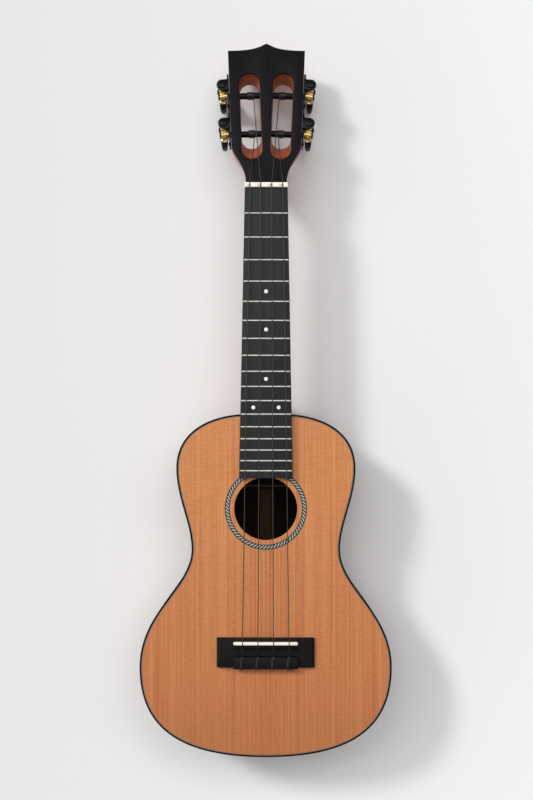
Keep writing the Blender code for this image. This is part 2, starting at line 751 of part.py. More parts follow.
def make_neck(root):
    stations = []
    web = HEEL_WIDTH / 2
    steps = (0, 0.3, 0.55, 0.75, 0.9, 0.98)
    for y in [GAP + (HEEL_LENGTH - GAP) * share for share in steps]:
        stations.append(neck_section(y, board_half_width(y), 0, heel_depth(y), SHAFT_FULLNESS, web))
    for share in (0, 0.02, 0.08, 0.18, 0.32, 0.5, 0.72, 1):
        y = HEEL_LENGTH + HEEL_SWEEP * share
        stations.append(neck_section(y, board_half_width(y), 0, heel_depth(y), SHAFT_FULLNESS, web))
    for share in (0.25, 0.5, 0.75, 0.9):
        y = HEEL_LENGTH + HEEL_SWEEP + (NUT_AT - HEEL_LENGTH - HEEL_SWEEP) * share
        depth = SHAFT_DEPTH_BODY + (SHAFT_DEPTH_NUT - SHAFT_DEPTH_BODY) * share
        stations.append(neck_section(y, board_half_width(y), 0, depth, SHAFT_FULLNESS))
    tilt = math.radians(HEAD_TILT)
    core_top = HEADPLATE_THICKNESS + GAP
    depth = SHAFT_DEPTH_NUT
    stations.append(neck_section(HEAD_AT - GAP, BOARD_WIDTH_NUT / 2, 0, depth, SHAFT_FULLNESS))
    blends = ((0, 0), (0.18, 0.25), (0.36, 0.55), (0.52, 0.8), (0.68, 1), (0.84, 1), (1, 1))
    for share, blend in blends:
        half, along = flare_point(share)
        y = HEAD_AT + along * math.cos(tilt)
        top = head_plane(y, core_top)
        full = top - head_plane(y, HEAD_THICKNESS)
        fullness = THROAT_FULLNESS + (HEAD_FULLNESS - THROAT_FULLNESS) * share ** 2
        thick = depth + top + (full - depth - top) * blend
        stations.append(neck_section(y, half, top, thick, fullness))
    y = HEAD_AT + (HEAD_LENGTH + 2 * HEAD_PEAK) * math.cos(tilt)
    half = HEAD_TIP_WIDTH / 2 + 2 * HEAD_PEAK * math.tan(HEAD_LEAN)
    top = head_plane(y, core_top)
    stations.append(neck_section(y, half, top, top - head_plane(y, HEAD_THICKNESS), HEAD_FULLNESS))
    return smooth(part("neck", loft("neck", stations), MAHOGANY, root))


def make_heel_cap(root):
    steps = 12
    arc = [math.pi * step / steps for step in range(steps + 1)]
    loop = [(HEEL_WIDTH / 2 * math.cos(a), GAP + (HEEL_LENGTH - GAP) * math.sin(a)) for a in arc]
    cap = prism("heel_cap", [loop], -DEPTH_NECK, -DEPTH_NECK + HEEL_CAP_THICKNESS)
    part("heel_cap", follow_back(cap), EBONY, root)


def make_neck_bolt(root, neck, block, sides):
    """The bolt that draws the heel to the body, from inside the neck block into an insert."""
    head_at = -INNER_INSET - NECK_BLOCK_LENGTH - GAP
    z = -BOLT_DEPTH
    end = INSERT_LENGTH - BOLT_CHAMFER
    profile = ((0, end), (BOLT_RADIUS - BOLT_CHAMFER, end), (BOLT_RADIUS, end - BOLT_CHAMFER),
               (BOLT_RADIUS, head_at), (BOLT_HEAD_RADIUS, head_at),
               (BOLT_HEAD_RADIUS, head_at - BOLT_HEAD_HEIGHT), (0, head_at - BOLT_HEAD_HEIGHT))
    turn = Matrix.Translation((0, 0, z)) @ Matrix.Rotation(-math.pi / 2, 4, "X")
    bolt = turned("neck_bolt", profile, 16)
    bolt.transform(turn)
    part("neck_bolt", bolt, STEEL, root)
    rings = [circle(INSERT_RADIUS, 16), circle(BOLT_RADIUS + GAP, 16)]
    insert = prism("neck_insert", rings, 2 * GAP, INSERT_LENGTH)
    insert.transform(turn)
    part("neck_insert", insert, BRASS, root)
    shank = cutter("bolt_hole", cylinder(BOLT_RADIUS + GAP, (0, head_at - 0.01, z), (0, 2 * GAP, z), 16), root)
    for pierced in (block, *sides):
        boolean(pierced, shank)
    socket = cylinder(INSERT_RADIUS + GAP, (0, -0.01, z), (0, INSERT_LENGTH + GAP, z), 16)
    boolean(neck, cutter("insert_socket", socket, root))


def make_fingerboard(root):
    """One long side view with every fret's crown on it, narrowed toward the nut."""
    low = GAP
    top = GAP + BOARD_THICKNESS
    loop = [(NUT_AT, low), (-BOARD_END, low), (-BOARD_END, top)]
    for fret in range(FRET_COUNT, 0, -1):
        y = NUT_AT - SCALE_LENGTH * (1 - 2 ** (-fret / 12))
        loop += [(y - FRET_WIDTH / 2, top), (y - FRET_WIDTH / 4, top + FRET_HEIGHT),
                 (y + FRET_WIDTH / 4, top + FRET_HEIGHT), (y + FRET_WIDTH / 2, top)]
    loop.append((NUT_AT, top))
    mesh = side_prism("fingerboard", loop, 2)
    for vertex in mesh.vertices:
        vertex.co.x *= board_half_width(vertex.co.y)
    part("fingerboard", mesh, EBONY, root)


def make_nut(root, tracks):
    low = GAP
    front = NUT_AT + GAP
    back = front + NUT_LENGTH
    loop = [(front, low), (back, low)] + [(back - y, NUT_HEIGHT - z) for y, z in NUT_ROUND]
    loop += [(front + NUT_BEVEL, NUT_HEIGHT), (front, NUT_HEIGHT - NUT_BEVEL)]
    nut = part("nut", side_prism("nut", loop, BOARD_WIDTH_NUT), BONE, root)
    for name, points in tracks:
        slot = tube(name, points, STRING_RADIUS + GAP)
        boolean(nut, cutter("nut_slot_" + name, slot, root))


# Head

def head_outline():
    """Right half of the head's outline, from the throat to the peak."""
    shares = (0, 0.18, 0.36, 0.52, 0.68, 0.84, 1)
    points = [flare_point(share) for share in shares]
    corner = (HEAD_TIP_WIDTH / 2, HEAD_LENGTH)
    points.append(corner)
    points += [(corner[0] * out, HEAD_LENGTH + HEAD_PEAK * up) for out, up in TIP_CURVE]
    return points


def make_head(root, neck):
    """Headplate, tip shape and tapered slots. Returns the frames of the head's two side faces."""
    tilt = Matrix.Rotation(-math.radians(HEAD_TILT), 4, "X")
    head = frame("head_face", root, Matrix.Translation((0, HEAD_AT, HEAD_FACE_RISE)) @ tilt)
    points = head_outline()
    loop = points + [(0, HEAD_LENGTH + HEAD_PEAK)] + [(-x, y) for x, y in points[::-1]]
    veneer = prism("headplate", [loop], -HEADPLATE_THICKNESS, 0)
    slice_off(veneer, (0, 0, 0), tilt.inverted() @ Vector((0, -1, 0)))
    plate = part("headplate", veneer, EBONY, head)
    tip = points[7:]
    edge = [(HEAD_TIP_WIDTH, HEAD_LENGTH)] + tip + [(0, HEAD_LENGTH + HEAD_PEAK)]
    edge += [(-x, y) for x, y in tip[::-1]] + [(-HEAD_TIP_WIDTH, HEAD_LENGTH)]
    edge += [(-HEAD_TIP_WIDTH, HEAD_LENGTH + 4 * HEAD_PEAK), (HEAD_TIP_WIDTH, HEAD_LENGTH + 4 * HEAD_PEAK)]
    waste = prism("head_tip_cut", [edge], -2 * HEAD_THICKNESS, HEAD_THICKNESS)
    boolean(neck, cutter("head_tip_cut", waste, head))
    sides = {}
    for side in (RIGHT, LEFT):
        place = Matrix.Translation((side * HEAD_CHEEK_WIDTH / 2, HEAD_CHEEK_AT, 0))
        lean = Matrix.Rotation(-side * HEAD_LEAN, 4, "Z")
        sides[side] = frame("head_side_right" if side == RIGHT else "head_side_left", head, place @ lean)
        slot = cutter("slot_cut", handed(slot_mesh(), side, "slot"), sides[side])
        boolean(neck, slot)
        boolean(plate, slot)
    return plate, sides


def slot_mesh():
    """A slot with round ends that narrows toward the back and ramps at its nut end."""
    rings = []
    for depth in (-0.002, HEAD_THICKNESS + 0.002):
        share = depth / HEAD_THICKNESS
        width = SLOT_WIDTH + (SLOT_WIDTH_BACK - SLOT_WIDTH) * share
        start = SLOT_START + (SLOT_START_BACK - SLOT_START) * share - HEAD_CHEEK_AT
        from_tip = SLOT_FROM_TIP + (SLOT_FROM_TIP_BACK - SLOT_FROM_TIP) * share
        end = HEAD_LENGTH - from_tip - HEAD_CHEEK_AT
        middle = -RAIL_WIDTH - SLOT_WIDTH / 2
        radius = width / 2
        steps = 8
        ring = []
        for centre, first in ((end - radius, 0), (start + radius, math.pi)):
            for step in range(steps + 1):
                angle = first + math.pi * step / steps
                ring.append((middle + radius * math.cos(angle), centre + radius * math.sin(angle), -depth))
        rings.append(ring)
    return loft("slot", rings)


# Bridge

def make_bridge(root):
    half = BRIDGE_LENGTH / 2
    front = -BRIDGE_FRONT
    back = front - BRIDGE_WIDTH
    radius = BRIDGE_CORNER
    corners = ((half - radius, front - radius, 0), (-half + radius, front - radius, 90),
               (-half + radius, back + radius, 180), (half - radius, back + radius, 270))
    loop = []
    for x, y, first in corners:
        for step in range(3):
            angle = math.radians(first + 45 * step)
            loop.append((x + radius * math.cos(angle), y + radius * math.sin(angle)))
    wings = [[(x - math.copysign(slope, x), y, z) for x, y in loop]
             for slope, z in ((0, GAP), (0, WING_HEIGHT - WING_FALL), (WING_SLOPE, WING_HEIGHT))]
    bridge = part("bridge", loft("bridge", wings), EBONY, root)
    ridge = front - RIDGE_WIDTH
    block = back + TIE_BLOCK_WIDTH
    top = BRIDGE_HEIGHT
    bevel = BRIDGE_BEVEL
    side = [(front, 2 * GAP), (front, WING_HEIGHT), (front - RIDGE_ROUND, top - bevel),
            (front - RIDGE_ROUND - bevel, top), (ridge + bevel, top), (ridge, top - bevel),
            (ridge - bevel, CHANNEL_HEIGHT), (block + bevel, CHANNEL_HEIGHT), (block, top - bevel),
            (block - bevel, top), (back + bevel, top), (back, top - bevel), (back, 2 * GAP)]
    middle = side_prism("bridge_middle", side, BRIDGE_MIDDLE)
    boolean(bridge, cutter("bridge_middle", middle, root), "UNION")
    floor = BRIDGE_HEIGHT - SADDLE_SLOT_DEPTH
    slot = box((BRIDGE_MIDDLE + 0.002, SADDLE_THICKNESS + 2 * GAP, BRIDGE_HEIGHT),
               (0, -SADDLE_AT, floor + BRIDGE_HEIGHT / 2))
    boolean(bridge, cutter("saddle_slot", slot, root))
    for index in range(4):
        x = string_x(index, STRING_SPACING_SADDLE)
        hole = cylinder(TIE_HOLE_RADIUS, (x, block + 0.003, TIE_HOLE_HEIGHT),
                        (x, back - 0.003, TIE_HOLE_HEIGHT), 8)
        boolean(bridge, cutter("tie_hole", hole, root))
    height = SADDLE_HEIGHT - floor - GAP
    saddle = box((BRIDGE_MIDDLE, SADDLE_THICKNESS, height), (0, -SADDLE_AT, floor + GAP + height / 2),
                 SADDLE_ROUND)
    part("saddle", saddle, BONE, root)
    return back, block


# Strings

def string_x(index, spacing):
    return (index - 1.5) * spacing


def string_track(index, back, block, landing):
    """The whole route of a string: its loop round the tie block, the saddle, the nut, its post."""
    x = string_x(index, STRING_SPACING_SADDLE)
    nut_x = string_x(index, STRING_SPACING_NUT)
    lift = STRING_RADIUS + GAP
    over = BRIDGE_HEIGHT + lift
    behind = back - lift
    loop_x = x - TIE_LOOP_OFFSET
    nut_y = NUT_AT + GAP + NUT_LENGTH / 2
    saddle = Vector((x, -SADDLE_AT, SADDLE_HEIGHT + lift))
    nut = Vector((nut_x, nut_y, STRING_HEIGHT_NUT))
    return [
        Vector((loop_x, block + lift + 0.0002, BRIDGE_HEIGHT - 0.0016)),
        Vector((loop_x, block + lift, BRIDGE_HEIGHT - 0.0004)),
        Vector((loop_x, block - 0.0006, over)),
        Vector((loop_x + 0.0003, back + 0.001, over)),
        Vector((loop_x + 0.0005, behind, BRIDGE_HEIGHT - 0.0006)),
        Vector((x - 0.0002, behind - 0.0002, TIE_HOLE_HEIGHT + 0.0008)),
        Vector((x, behind + 0.0002, TIE_HOLE_HEIGHT)),
        Vector((x, block + 0.0002, TIE_HOLE_HEIGHT)),
        Vector((x, -SADDLE_AT - SADDLE_THICKNESS / 2, SADDLE_HEIGHT + GAP)),
        saddle,
        saddle.lerp(nut, 0.02),
        saddle.lerp(nut, 0.5),
        saddle.lerp(nut, 0.98),
        nut,
        nut + (landing - nut) * 0.03,
        landing,
    ]


def make_strings(root, tracks):
    for name, points in tracks:
        smooth(part("string_" + name, tube(name, points, STRING_RADIUS), NYLON, root), 60)


# Tuners, in the frame of the head's side: x out of the side, y toward the tip, z out of the face

def gear_mesh():
    """A gear cut to the worm's lead, turned about x."""
    pitch = GEAR_TEETH * GEAR_MODULE / 2
    tip = pitch + GEAR_MODULE - TOOTH_CUT_BACK
    root = pitch - GEAR_MODULE - TOOTH_CUT_BACK
    step = 2 * math.pi / GEAR_TEETH
    foot, crest = TOOTH_SHARES
    profile = []
    for tooth in range(GEAR_TEETH):
        for radius, share in ((root, -foot), (tip, -crest), (tip, crest), (root, foot)):
            angle = step * (tooth + 0.5 + share)
            profile.append((radius * math.cos(angle), radius * math.sin(angle)))
    twist = THREAD_LEAD / (2 * math.pi * WORM_RADIUS) * GEAR_THICKNESS / pitch
    rings = []
    for share in (-0.5, 0.5):
        turn = Matrix.Rotation(twist * share, 2)
        ring = [turn @ Vector(point) for point in profile]
        rings.append([(GEAR_THICKNESS * share, point.x, point.y) for point in ring])
    return loft("gear", rings)


def worm_mesh():
    """The worm's thread, a ridge wound round z, from below the front lug to above the rear one."""
    reach = LUG_FROM_POST - GAP - THREAD_FOOT - THREAD_CREST
    turns = 2 * reach / THREAD_LEAD
    count = round(turns * THREAD_STEPS)
    tip = WORM_RADIUS + GEAR_MODULE - TOOTH_CUT_BACK
    core = WORM_RADIUS - GEAR_MODULE - TOOTH_CUT_BACK * 2
    rings = []
    for step in range(count + 1):
        share = step / count
        angle = 2 * math.pi * (share - 0.5) * turns - math.pi / 2
        height = (share - 0.5) * 2 * reach
        ring = []
        for radius, rise in ((core, -THREAD_FOOT), (tip, -THREAD_CREST), (tip, THREAD_CREST),
                             (core, THREAD_FOOT)):
            ring.append((radius * math.cos(angle), radius * math.sin(angle), height + rise))
        rings.append(ring)
    return loft("worm_thread", rings)


def worm_shaft_mesh():
    core = WORM_RADIUS - GEAR_MODULE
    pin = WORM_PIN_RADIUS
    inner = LUG_FROM_POST - GAP
    outer = LUG_FROM_POST + LUG_THICKNESS + GAP
    end = BUTTON_FROM_POST + BUTTON_BORE_DEPTH - GAP
    seat = LUG_FROM_POST + PIN_SEAT - GAP
    profile = ((0, seat), (pin, seat), (pin, inner), (core, inner), (core, -inner), (pin, -inner),
               (pin, -outer), (core, -outer), (core, -end), (0, -end))
    return turned("worm_shaft", profile, THREAD_STEPS)


def button_mesh():
    """A flat oval with blunt ends that thins from its root to its tip."""
    bm = bmesh.new()
    bmesh.ops.create_uvsphere(bm, u_segments=12, v_segments=8, radius=0.5)
    for vertex in bm.verts:
        share = 0.5 - vertex.co.z
        thick = BUTTON_ROOT + (BUTTON_TIP - BUTTON_ROOT) * share
        girth = math.hypot(vertex.co.x, vertex.co.y) * 2
        across, along = (girth ** (fullness - 1) if girth > GAP else 0.0 for fullness in BUTTON_FULLNESS)
        vertex.co = (vertex.co.x * thick * across, vertex.co.y * BUTTON_WIDTH * along,
                     vertex.co.z * BUTTON_LENGTH)
    bmesh.ops.translate(bm, vec=(0, 0, -BUTTON_FROM_POST - BUTTON_LENGTH / 2), verts=bm.verts)
    return mesh_from(bm, "button")


def tuner_plate(name, parent):
    """A side plate with two lugs that carry the worm's ends, the one toward the face closed."""
    x = GAP + PLATE_THICKNESS / 2
    bed = box((PLATE_THICKNESS, PLATE_LENGTH, PLATE_HEIGHT), (x, PLATE_SHIFT, 0))
    plate = part(name, bed, BLACK_METAL, parent)
    for way, thick in ((1, CAP_THICKNESS), (-1, LUG_THICKNESS)):
        arc = [math.pi / 2 - math.pi * step / 8 for step in range(9)]
        outline = [(GEAR_FROM_SIDE + LUG_RADIUS * math.cos(a), WORM_OFFSET + LUG_RADIUS * math.sin(a))
                   for a in arc]
        outline += [(2 * GAP, WORM_OFFSET - LUG_RADIUS), (2 * GAP, WORM_OFFSET + LUG_RADIUS)]
        low = way * LUG_FROM_POST
        high = way * (LUG_FROM_POST + thick)
        lug = prism("lug", [outline], min(low, high), max(low, high))
        boolean(plate, cutter("lug", lug, parent), "UNION")
    reach = LUG_FROM_POST + 2 * LUG_THICKNESS
    bore = cylinder(WORM_PIN_RADIUS + GAP, (GEAR_FROM_SIDE, WORM_OFFSET, -reach),
                    (GEAR_FROM_SIDE, WORM_OFFSET, LUG_FROM_POST + PIN_SEAT), 12)
    boolean(plate, cutter("worm_bore", bore, parent))
    hole = cylinder(POST_RADIUS + GAP, (-0.002, 0, 0), (0.004, 0, 0), 12)
    boolean(plate, cutter("post_hole", hole, parent))
    return plate


def post_mesh():
    """The post, turned about x: roller, gear seat and the screw head that holds the gear."""
    inner = -RAIL_WIDTH - SLOT_WIDTH - POST_IN_WEB
    shoulder = GAP + PLATE_THICKNESS
    outer = GEAR_FROM_SIDE + GEAR_THICKNESS / 2 + GAP
    seat = GEAR_BORE - GAP
    head = outer + GEAR_SCREW_HEIGHT
    rim = GEAR_SCREW_HEIGHT / 2
    profile = ((0, head), (GEAR_SCREW_RADIUS - rim, head), (GEAR_SCREW_RADIUS, head - rim),
               (GEAR_SCREW_RADIUS, outer), (seat, outer), (seat, shoulder), (POST_RADIUS, shoulder),
               (POST_RADIUS, inner), (0, inner))
    mesh = turned("post", profile, 12)
    mesh.transform(Matrix.Rotation(math.pi / 2, 4, "Y"))
    return mesh


def wrap_mesh(start, turns):
    """String wound on the post, beside the place where it comes in."""
    radius = POST_RADIUS + GAP + STRING_RADIUS
    steps = 7
    points = []
    for step in range(turns * steps + 1):
        angle = 2 * math.pi * step / steps
        points.append((start + WRAP_PITCH * step / steps, radius * math.sin(angle),
                       radius * math.cos(angle)))
    return tube("wrap", points, STRING_RADIUS, 0)


def make_tuners(root, neck, sides):
    """Four tuners. Returns each string's landing point on its post, in the root's frame."""
    worm = worm_mesh()
    shaft = worm_shaft_mesh()
    gear = gear_mesh()
    post = post_mesh()
    landings = {}
    places = (("g", LEFT, 1), ("c", LEFT, 0), ("e", RIGHT, 0), ("a", RIGHT, 1))
    for name, side, row in places:
        along = HEAD_LENGTH - POST_FROM_TIP - row * POST_SPACING - HEAD_CHEEK_AT
        seat = frame("tuner_" + name, sides[side], Matrix.Translation((0, along, -POST_DEPTH)))
        inner = RAIL_WIDTH + SLOT_WIDTH + POST_IN_WEB + GAP
        bore = cylinder(POST_RADIUS + GAP, (side * 0.01, 0, 0), (-side * inner, 0, 0), 12)
        boolean(neck, cutter("post_bore_" + name, bore, seat))

        plate = tuner_plate("tuner_plate_" + name, seat)
        if side == LEFT:
            hand_over(plate)
        axis = frame("worm_axis_" + name, seat, Matrix.Translation((side * GEAR_FROM_SIDE, WORM_OFFSET, 0)))
        worm_part = part("worm_" + name, handed(shaft.copy(), side, "worm"), STEEL, axis)
        thread = cutter("worm_thread_" + name, handed(worm, side, "thread"), axis)
        boolean(worm_part, thread, "UNION")
        button = smooth(part("button_" + name, button_mesh(), BUTTON_RESIN, axis))
        bore = cylinder(WORM_RADIUS - GEAR_MODULE + GAP, (0, 0, 0),
                        (0, 0, -BUTTON_FROM_POST - BUTTON_BORE_DEPTH), 12)
        boolean(button, cutter("button_bore_" + name, bore, axis))

        turning = frame("post_axis_" + name, seat, Matrix())
        part("post_" + name, handed(post.copy(), side, "post"), BLACK_METAL, turning)
        gear_place = Matrix.Translation((side * GEAR_FROM_SIDE, 0, 0))
        gear_part = part("gear_" + name, handed(gear.copy(), side, "gear"), BRASS, turning, gear_place)
        hub = cylinder(GEAR_HUB_RADIUS, (side * (2 * GAP + PLATE_THICKNESS), 0, 0),
                       (side * GEAR_FROM_SIDE, 0, 0), 16)
        boolean(gear_part, cutter("gear_hub_" + name, hub, turning), "UNION")
        bore = cylinder(GEAR_BORE, (0.02, 0, 0), (-0.02, 0, 0), 12)
        boolean(gear_part, cutter("gear_bore_" + name, bore, turning))

        wrap_start = -RAIL_WIDTH - SLOT_WIDTH + WRAP_FROM_WEB
        wrap = handed(wrap_mesh(wrap_start, WRAP_TURNS), side, "wrap")
        smooth(part("wrap_" + name, wrap, NYLON, turning), 60)
        lift = POST_RADIUS + GAP + STRING_RADIUS
        landing = Vector((side * (wrap_start - WRAP_PITCH), 0, lift))
        bpy.context.view_layer.update()
        landings[name] = root.matrix_world.inverted() @ seat.matrix_world @ landing
    return landings


def hand_over(made):
    """Turns a piece and its cutters into their mirror image, for the left side of the head."""
    made.data = mirrored(made.data, made.name)
    for step in made.modifiers:
        step.object.data = mirrored(step.object.data, step.object.name)


def main():
    back_middle = Vector((0, -BODY_LENGTH / 2, -DEPTH_NECK - TAPER * BODY_LENGTH / 2))
    level = Matrix.Rotation(-math.atan(TAPER), 4, "X")
    root = frame("instrument", None, Matrix.Translation(-(level @ back_middle)) @ level)
    make_plates(root)
    sides = make_sides(root)
    make_linings(root)
    block = make_blocks(root)
    make_braces(root)
    neck = make_neck(root)
    make_heel_cap(root)
    make_neck_bolt(root, neck, block, sides)
    make_fingerboard(root)
    plate, side_frames = make_head(root, neck)
    landings = make_tuners(root, neck, side_frames)
    back, tie = make_bridge(root)
    tracks = [(name, string_track(index, back, tie, landings[name]))
              for index, name in enumerate(("g", "c", "e", "a"))]
    make_nut(root, [(name, points[11:]) for name, points in tracks])
    make_strings(root, tracks)


main()
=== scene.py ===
"""Looks of the concert ukulele: its woods, bindings, strings, metalwork and light."""
import math

import bmesh
import bpy
from mathutils import Matrix, Vector


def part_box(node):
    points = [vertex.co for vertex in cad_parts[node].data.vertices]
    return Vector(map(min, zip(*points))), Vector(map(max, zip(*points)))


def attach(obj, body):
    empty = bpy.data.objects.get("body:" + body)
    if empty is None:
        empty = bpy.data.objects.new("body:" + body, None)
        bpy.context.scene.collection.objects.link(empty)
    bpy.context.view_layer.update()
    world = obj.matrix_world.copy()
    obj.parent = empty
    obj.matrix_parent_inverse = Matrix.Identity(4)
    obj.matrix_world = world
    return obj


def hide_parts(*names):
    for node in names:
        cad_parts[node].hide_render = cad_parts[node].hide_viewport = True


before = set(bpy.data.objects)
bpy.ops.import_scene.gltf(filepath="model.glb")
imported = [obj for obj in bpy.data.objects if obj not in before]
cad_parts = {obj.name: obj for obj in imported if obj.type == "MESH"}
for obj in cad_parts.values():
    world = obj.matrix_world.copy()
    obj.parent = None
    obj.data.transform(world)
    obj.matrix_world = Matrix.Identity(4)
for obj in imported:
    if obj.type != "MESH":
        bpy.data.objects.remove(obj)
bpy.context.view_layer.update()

MM = 0.001

# Sizes of the instrument, in metres, in its own frame: y = 0 where the neck meets the body and
# z = 0 on the face of the soundboard
BODY_LENGTH = 0.2915
BODY_DEPTH = 0.068
TAPER = 0.005 / BODY_LENGTH
KNOTS = (
    ((0.021, 0), (-0.006, 0), (0.006, 0)),
    ((0.076, -0.0458), (0, 0.0423), (0, -0.0251)),
    ((0.063, -0.1146), (0, 0.0217), (0, -0.0318)),
    ((0.1072, -0.2149), (0, 0.0473), (0, -0.0555)),
    ((0, -0.2915), (0.068, 0), (-0.068, 0)),
)
BINDING_WIDTH = 0.0016
BINDING_HEIGHT = 0.0045
LIGHT_LINE = 0.0003
DARK_LINE = 0.0003
TOP_THICKNESS = 0.002
BACK_THICKNESS = 0.0022
SIDE_THICKNESS = 0.0023
HOLE_AT = -0.08
HOLE_RADIUS = 0.0267
ROSETTE_INNER = 0.0304
ROSETTE_OUTER = 0.0351
ROSETTE_DEPTH = 0.001
ROPE_STRANDS = 72
SCALE_LENGTH = 0.381
NUT_AT = 0.1905
NUT_MIDDLE = 0.193
BOARD_TOP = 0.0053
BOARD_END = -0.054
BOARD_HALF_NUT = 0.0181
BOARD_HALF_BODY = 0.02165
SHAFT_BODY, SHAFT_NUT = 0.0155, 0.0135
HEEL_HALF, HEEL_LENGTH, HEEL_SWEEP = 0.013, 0.021, 0.031
HEEL_GAP = 0.0003
HEEL_CAP = 0.0026
HEAD_AT = 0.1955
HEAD_DROP = 0.0004
HEAD_TILT = math.radians(12)
HEAD_THICKNESS = 0.017
HEAD_LENGTH = 0.1227
HEAD_PEAK = 0.0067
TIP_HALF = 0.0334
CHEEK_HALF = 0.0296
CHEEK_AT = 0.0336
THROAT_HALF = 0.0172
VENEER = 0.002
RAIL_WIDTH = 0.0078
# Width of a slot, and where it starts and ends along the head, at the face and at the back
SLOT_FACE, SLOT_BACK = (0.0178, 0.0206, 0.1008), (0.0165, 0.0385, 0.0987)
HEAD_LEAN = math.atan2(TIP_HALF - CHEEK_HALF, HEAD_LENGTH - CHEEK_AT)
POST_ROWS = {"g": (-1, 0.015), "c": (-1, 0.0507), "e": (1, 0.0507), "a": (1, 0.015)}
POST_DEPTH = 0.0095
POST_RADIUS = 0.0027
POST_BORE, POST_BORE_AT = 0.0326, 0.0141
WINDING_AT, WINDING_TURNS, WINDING_PITCH = 0.0204, 6.5, 0.0008
GEAR_OUT = 0.0062
WORM_ALONG = 0.00775
LUG_TOP = 0.0079
BUTTON_WIDTH, BUTTON_LENGTH = 0.0195, 0.02
BUTTON_ROOT, BUTTON_TIP = 0.0074, 0.0034
SADDLE_AT = -0.1934
SADDLE_TOP = 0.0111
SADDLE_FOOT = 0.0043
SADDLE_LENGTH = 0.0545
BRIDGE_FRONT = -0.1893
BRIDGE_BACK = -0.2145
BRIDGE_HALF = 0.0414
BRIDGE_TOP = 0.008
TIE_HOLES_AT = 0.0052
BLOCK_FRONT, BLOCK_BACK = -0.2051, -0.2153
SADDLE_SPACING = 0.0131
NUT_SPACING = 0.0092
NUT_STRINGS_AT = 0.0074
STRING_RADIUS = 0.00036
STRINGS = ("g", "c", "e", "a")
# How far the middle of a string runs above what it lies on
LIFT = STRING_RADIUS + 0.0001

LEVEL = Matrix.Rotation(-math.atan(TAPER), 4, "X")
BACK_MIDDLE = Vector((0, -BODY_LENGTH / 2, -BODY_DEPTH - TAPER * BODY_LENGTH / 2))
BODY = Matrix.Translation(-(LEVEL @ BACK_MIDDLE)) @ LEVEL
HEAD = BODY @ Matrix.Translation((0, HEAD_AT, -HEAD_DROP)) @ Matrix.Rotation(-HEAD_TILT, 4, "X")


def head_side(side):
    lean = Matrix.Rotation(-side * HEAD_LEAN, 4, "Z")
    return HEAD @ Matrix.Translation((side * CHEEK_HALF, CHEEK_AT, 0)) @ lean


def tuner_place(string):
    side, along = POST_ROWS[string]
    return head_side(side) @ Matrix.Translation((0, along, -POST_DEPTH))


# Bench work: choosing, shaping and settling a piece

def only(*pieces):
    bpy.ops.object.select_all(action="DESELECT")
    for piece in pieces:
        piece.select_set(True)
    bpy.context.view_layer.objects.active = pieces[0]


def edit():
    bpy.ops.object.mode_set(mode="EDIT")
    bpy.ops.mesh.select_all(action="SELECT")


def done():
    bpy.ops.object.mode_set(mode="OBJECT")
    return bpy.context.object


def pick(kind, test):
    """In edit mode, selects the verts or edges that pass a test."""
    bpy.ops.mesh.select_mode(type={"verts": "VERT", "edges": "EDGE"}[kind])
    bpy.ops.mesh.select_all(action="DESELECT")
    shape = bmesh.from_edit_mesh(bpy.context.object.data)
    for item in getattr(shape, kind):
        if test(item):
            item.select_set(True)
    shape.select_flush(True)
    bmesh.update_edit_mesh(bpy.context.object.data)


def pull(x, y, z):
    bpy.ops.mesh.extrude_region_move(TRANSFORM_OT_translate={"value": (x, y, z)})


def outward():
    bpy.ops.mesh.select_all(action="SELECT")
    bpy.ops.mesh.remove_doubles(threshold=1e-6)
    bpy.ops.mesh.normals_make_consistent(inside=False)


def halved(normal, height=0.0):
    """In edit mode, keeps what lies past a plane and closes the cut."""
    bpy.ops.mesh.bisect(plane_co=(0, 0, height), plane_no=normal, use_fill=True, clear_inner=True)
    outward()
    return done()


def modify(piece, kind, **settings):
    """Adds a modifier with its settings and applies it."""
    only(piece)
    bpy.ops.object.modifier_add(type=kind)
    modifier = piece.modifiers[-1]
    for name, value in settings.items():
        setattr(modifier, name, value)
    bpy.ops.object.modifier_apply(modifier=modifier.name)
    return piece


def soften(piece, width, segments=2, angle=30):
    """Eases every edge sharper than an angle, as sandpaper or a file would."""
    return modify(piece, "BEVEL", width=width, segments=segments, limit_method="ANGLE",
                  angle_limit=math.radians(angle))


def cut(piece, tool, operation="DIFFERENCE"):
    """Cuts a piece with a tool, or joins them, and clears the tool away."""
    modify(piece, "BOOLEAN", object=tool, operation=operation, solver="EXACT")
    bpy.data.objects.remove(tool)
    return piece


def twin(piece):
    only(piece)
    bpy.ops.object.duplicate(linked=False)
    return bpy.context.object


def joined(pieces):
    only(*pieces)
    bpy.ops.object.join()
    return bpy.context.object


def settle(piece, name, finish, instead=None, body="instrument", place=BODY, smooth=40):
    """Puts a finished piece in its place, with its finish, on the body that carries it, instead
    of the CAD node that it stands for."""
    piece.name = piece.data.name = name
    piece.data.transform(place @ piece.matrix_world)
    piece.matrix_world = Matrix()
    if place.determinant() < 0:
        piece.data.flip_normals()
    piece.data.materials.clear()
    piece.data.materials.append(finish)
    only(piece)
    bpy.ops.object.shade_smooth_by_angle(angle=math.radians(smooth))
    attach(piece, body)
    if instead:
        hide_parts(instead)


def block(size, location, turn=0.0):
    """A plain box, turned about z."""
    bpy.ops.mesh.primitive_cube_add(size=1, location=location, scale=size, rotation=(0, 0, turn))
    bpy.ops.object.transform_apply(location=True, rotation=True, scale=True)
    return bpy.context.object


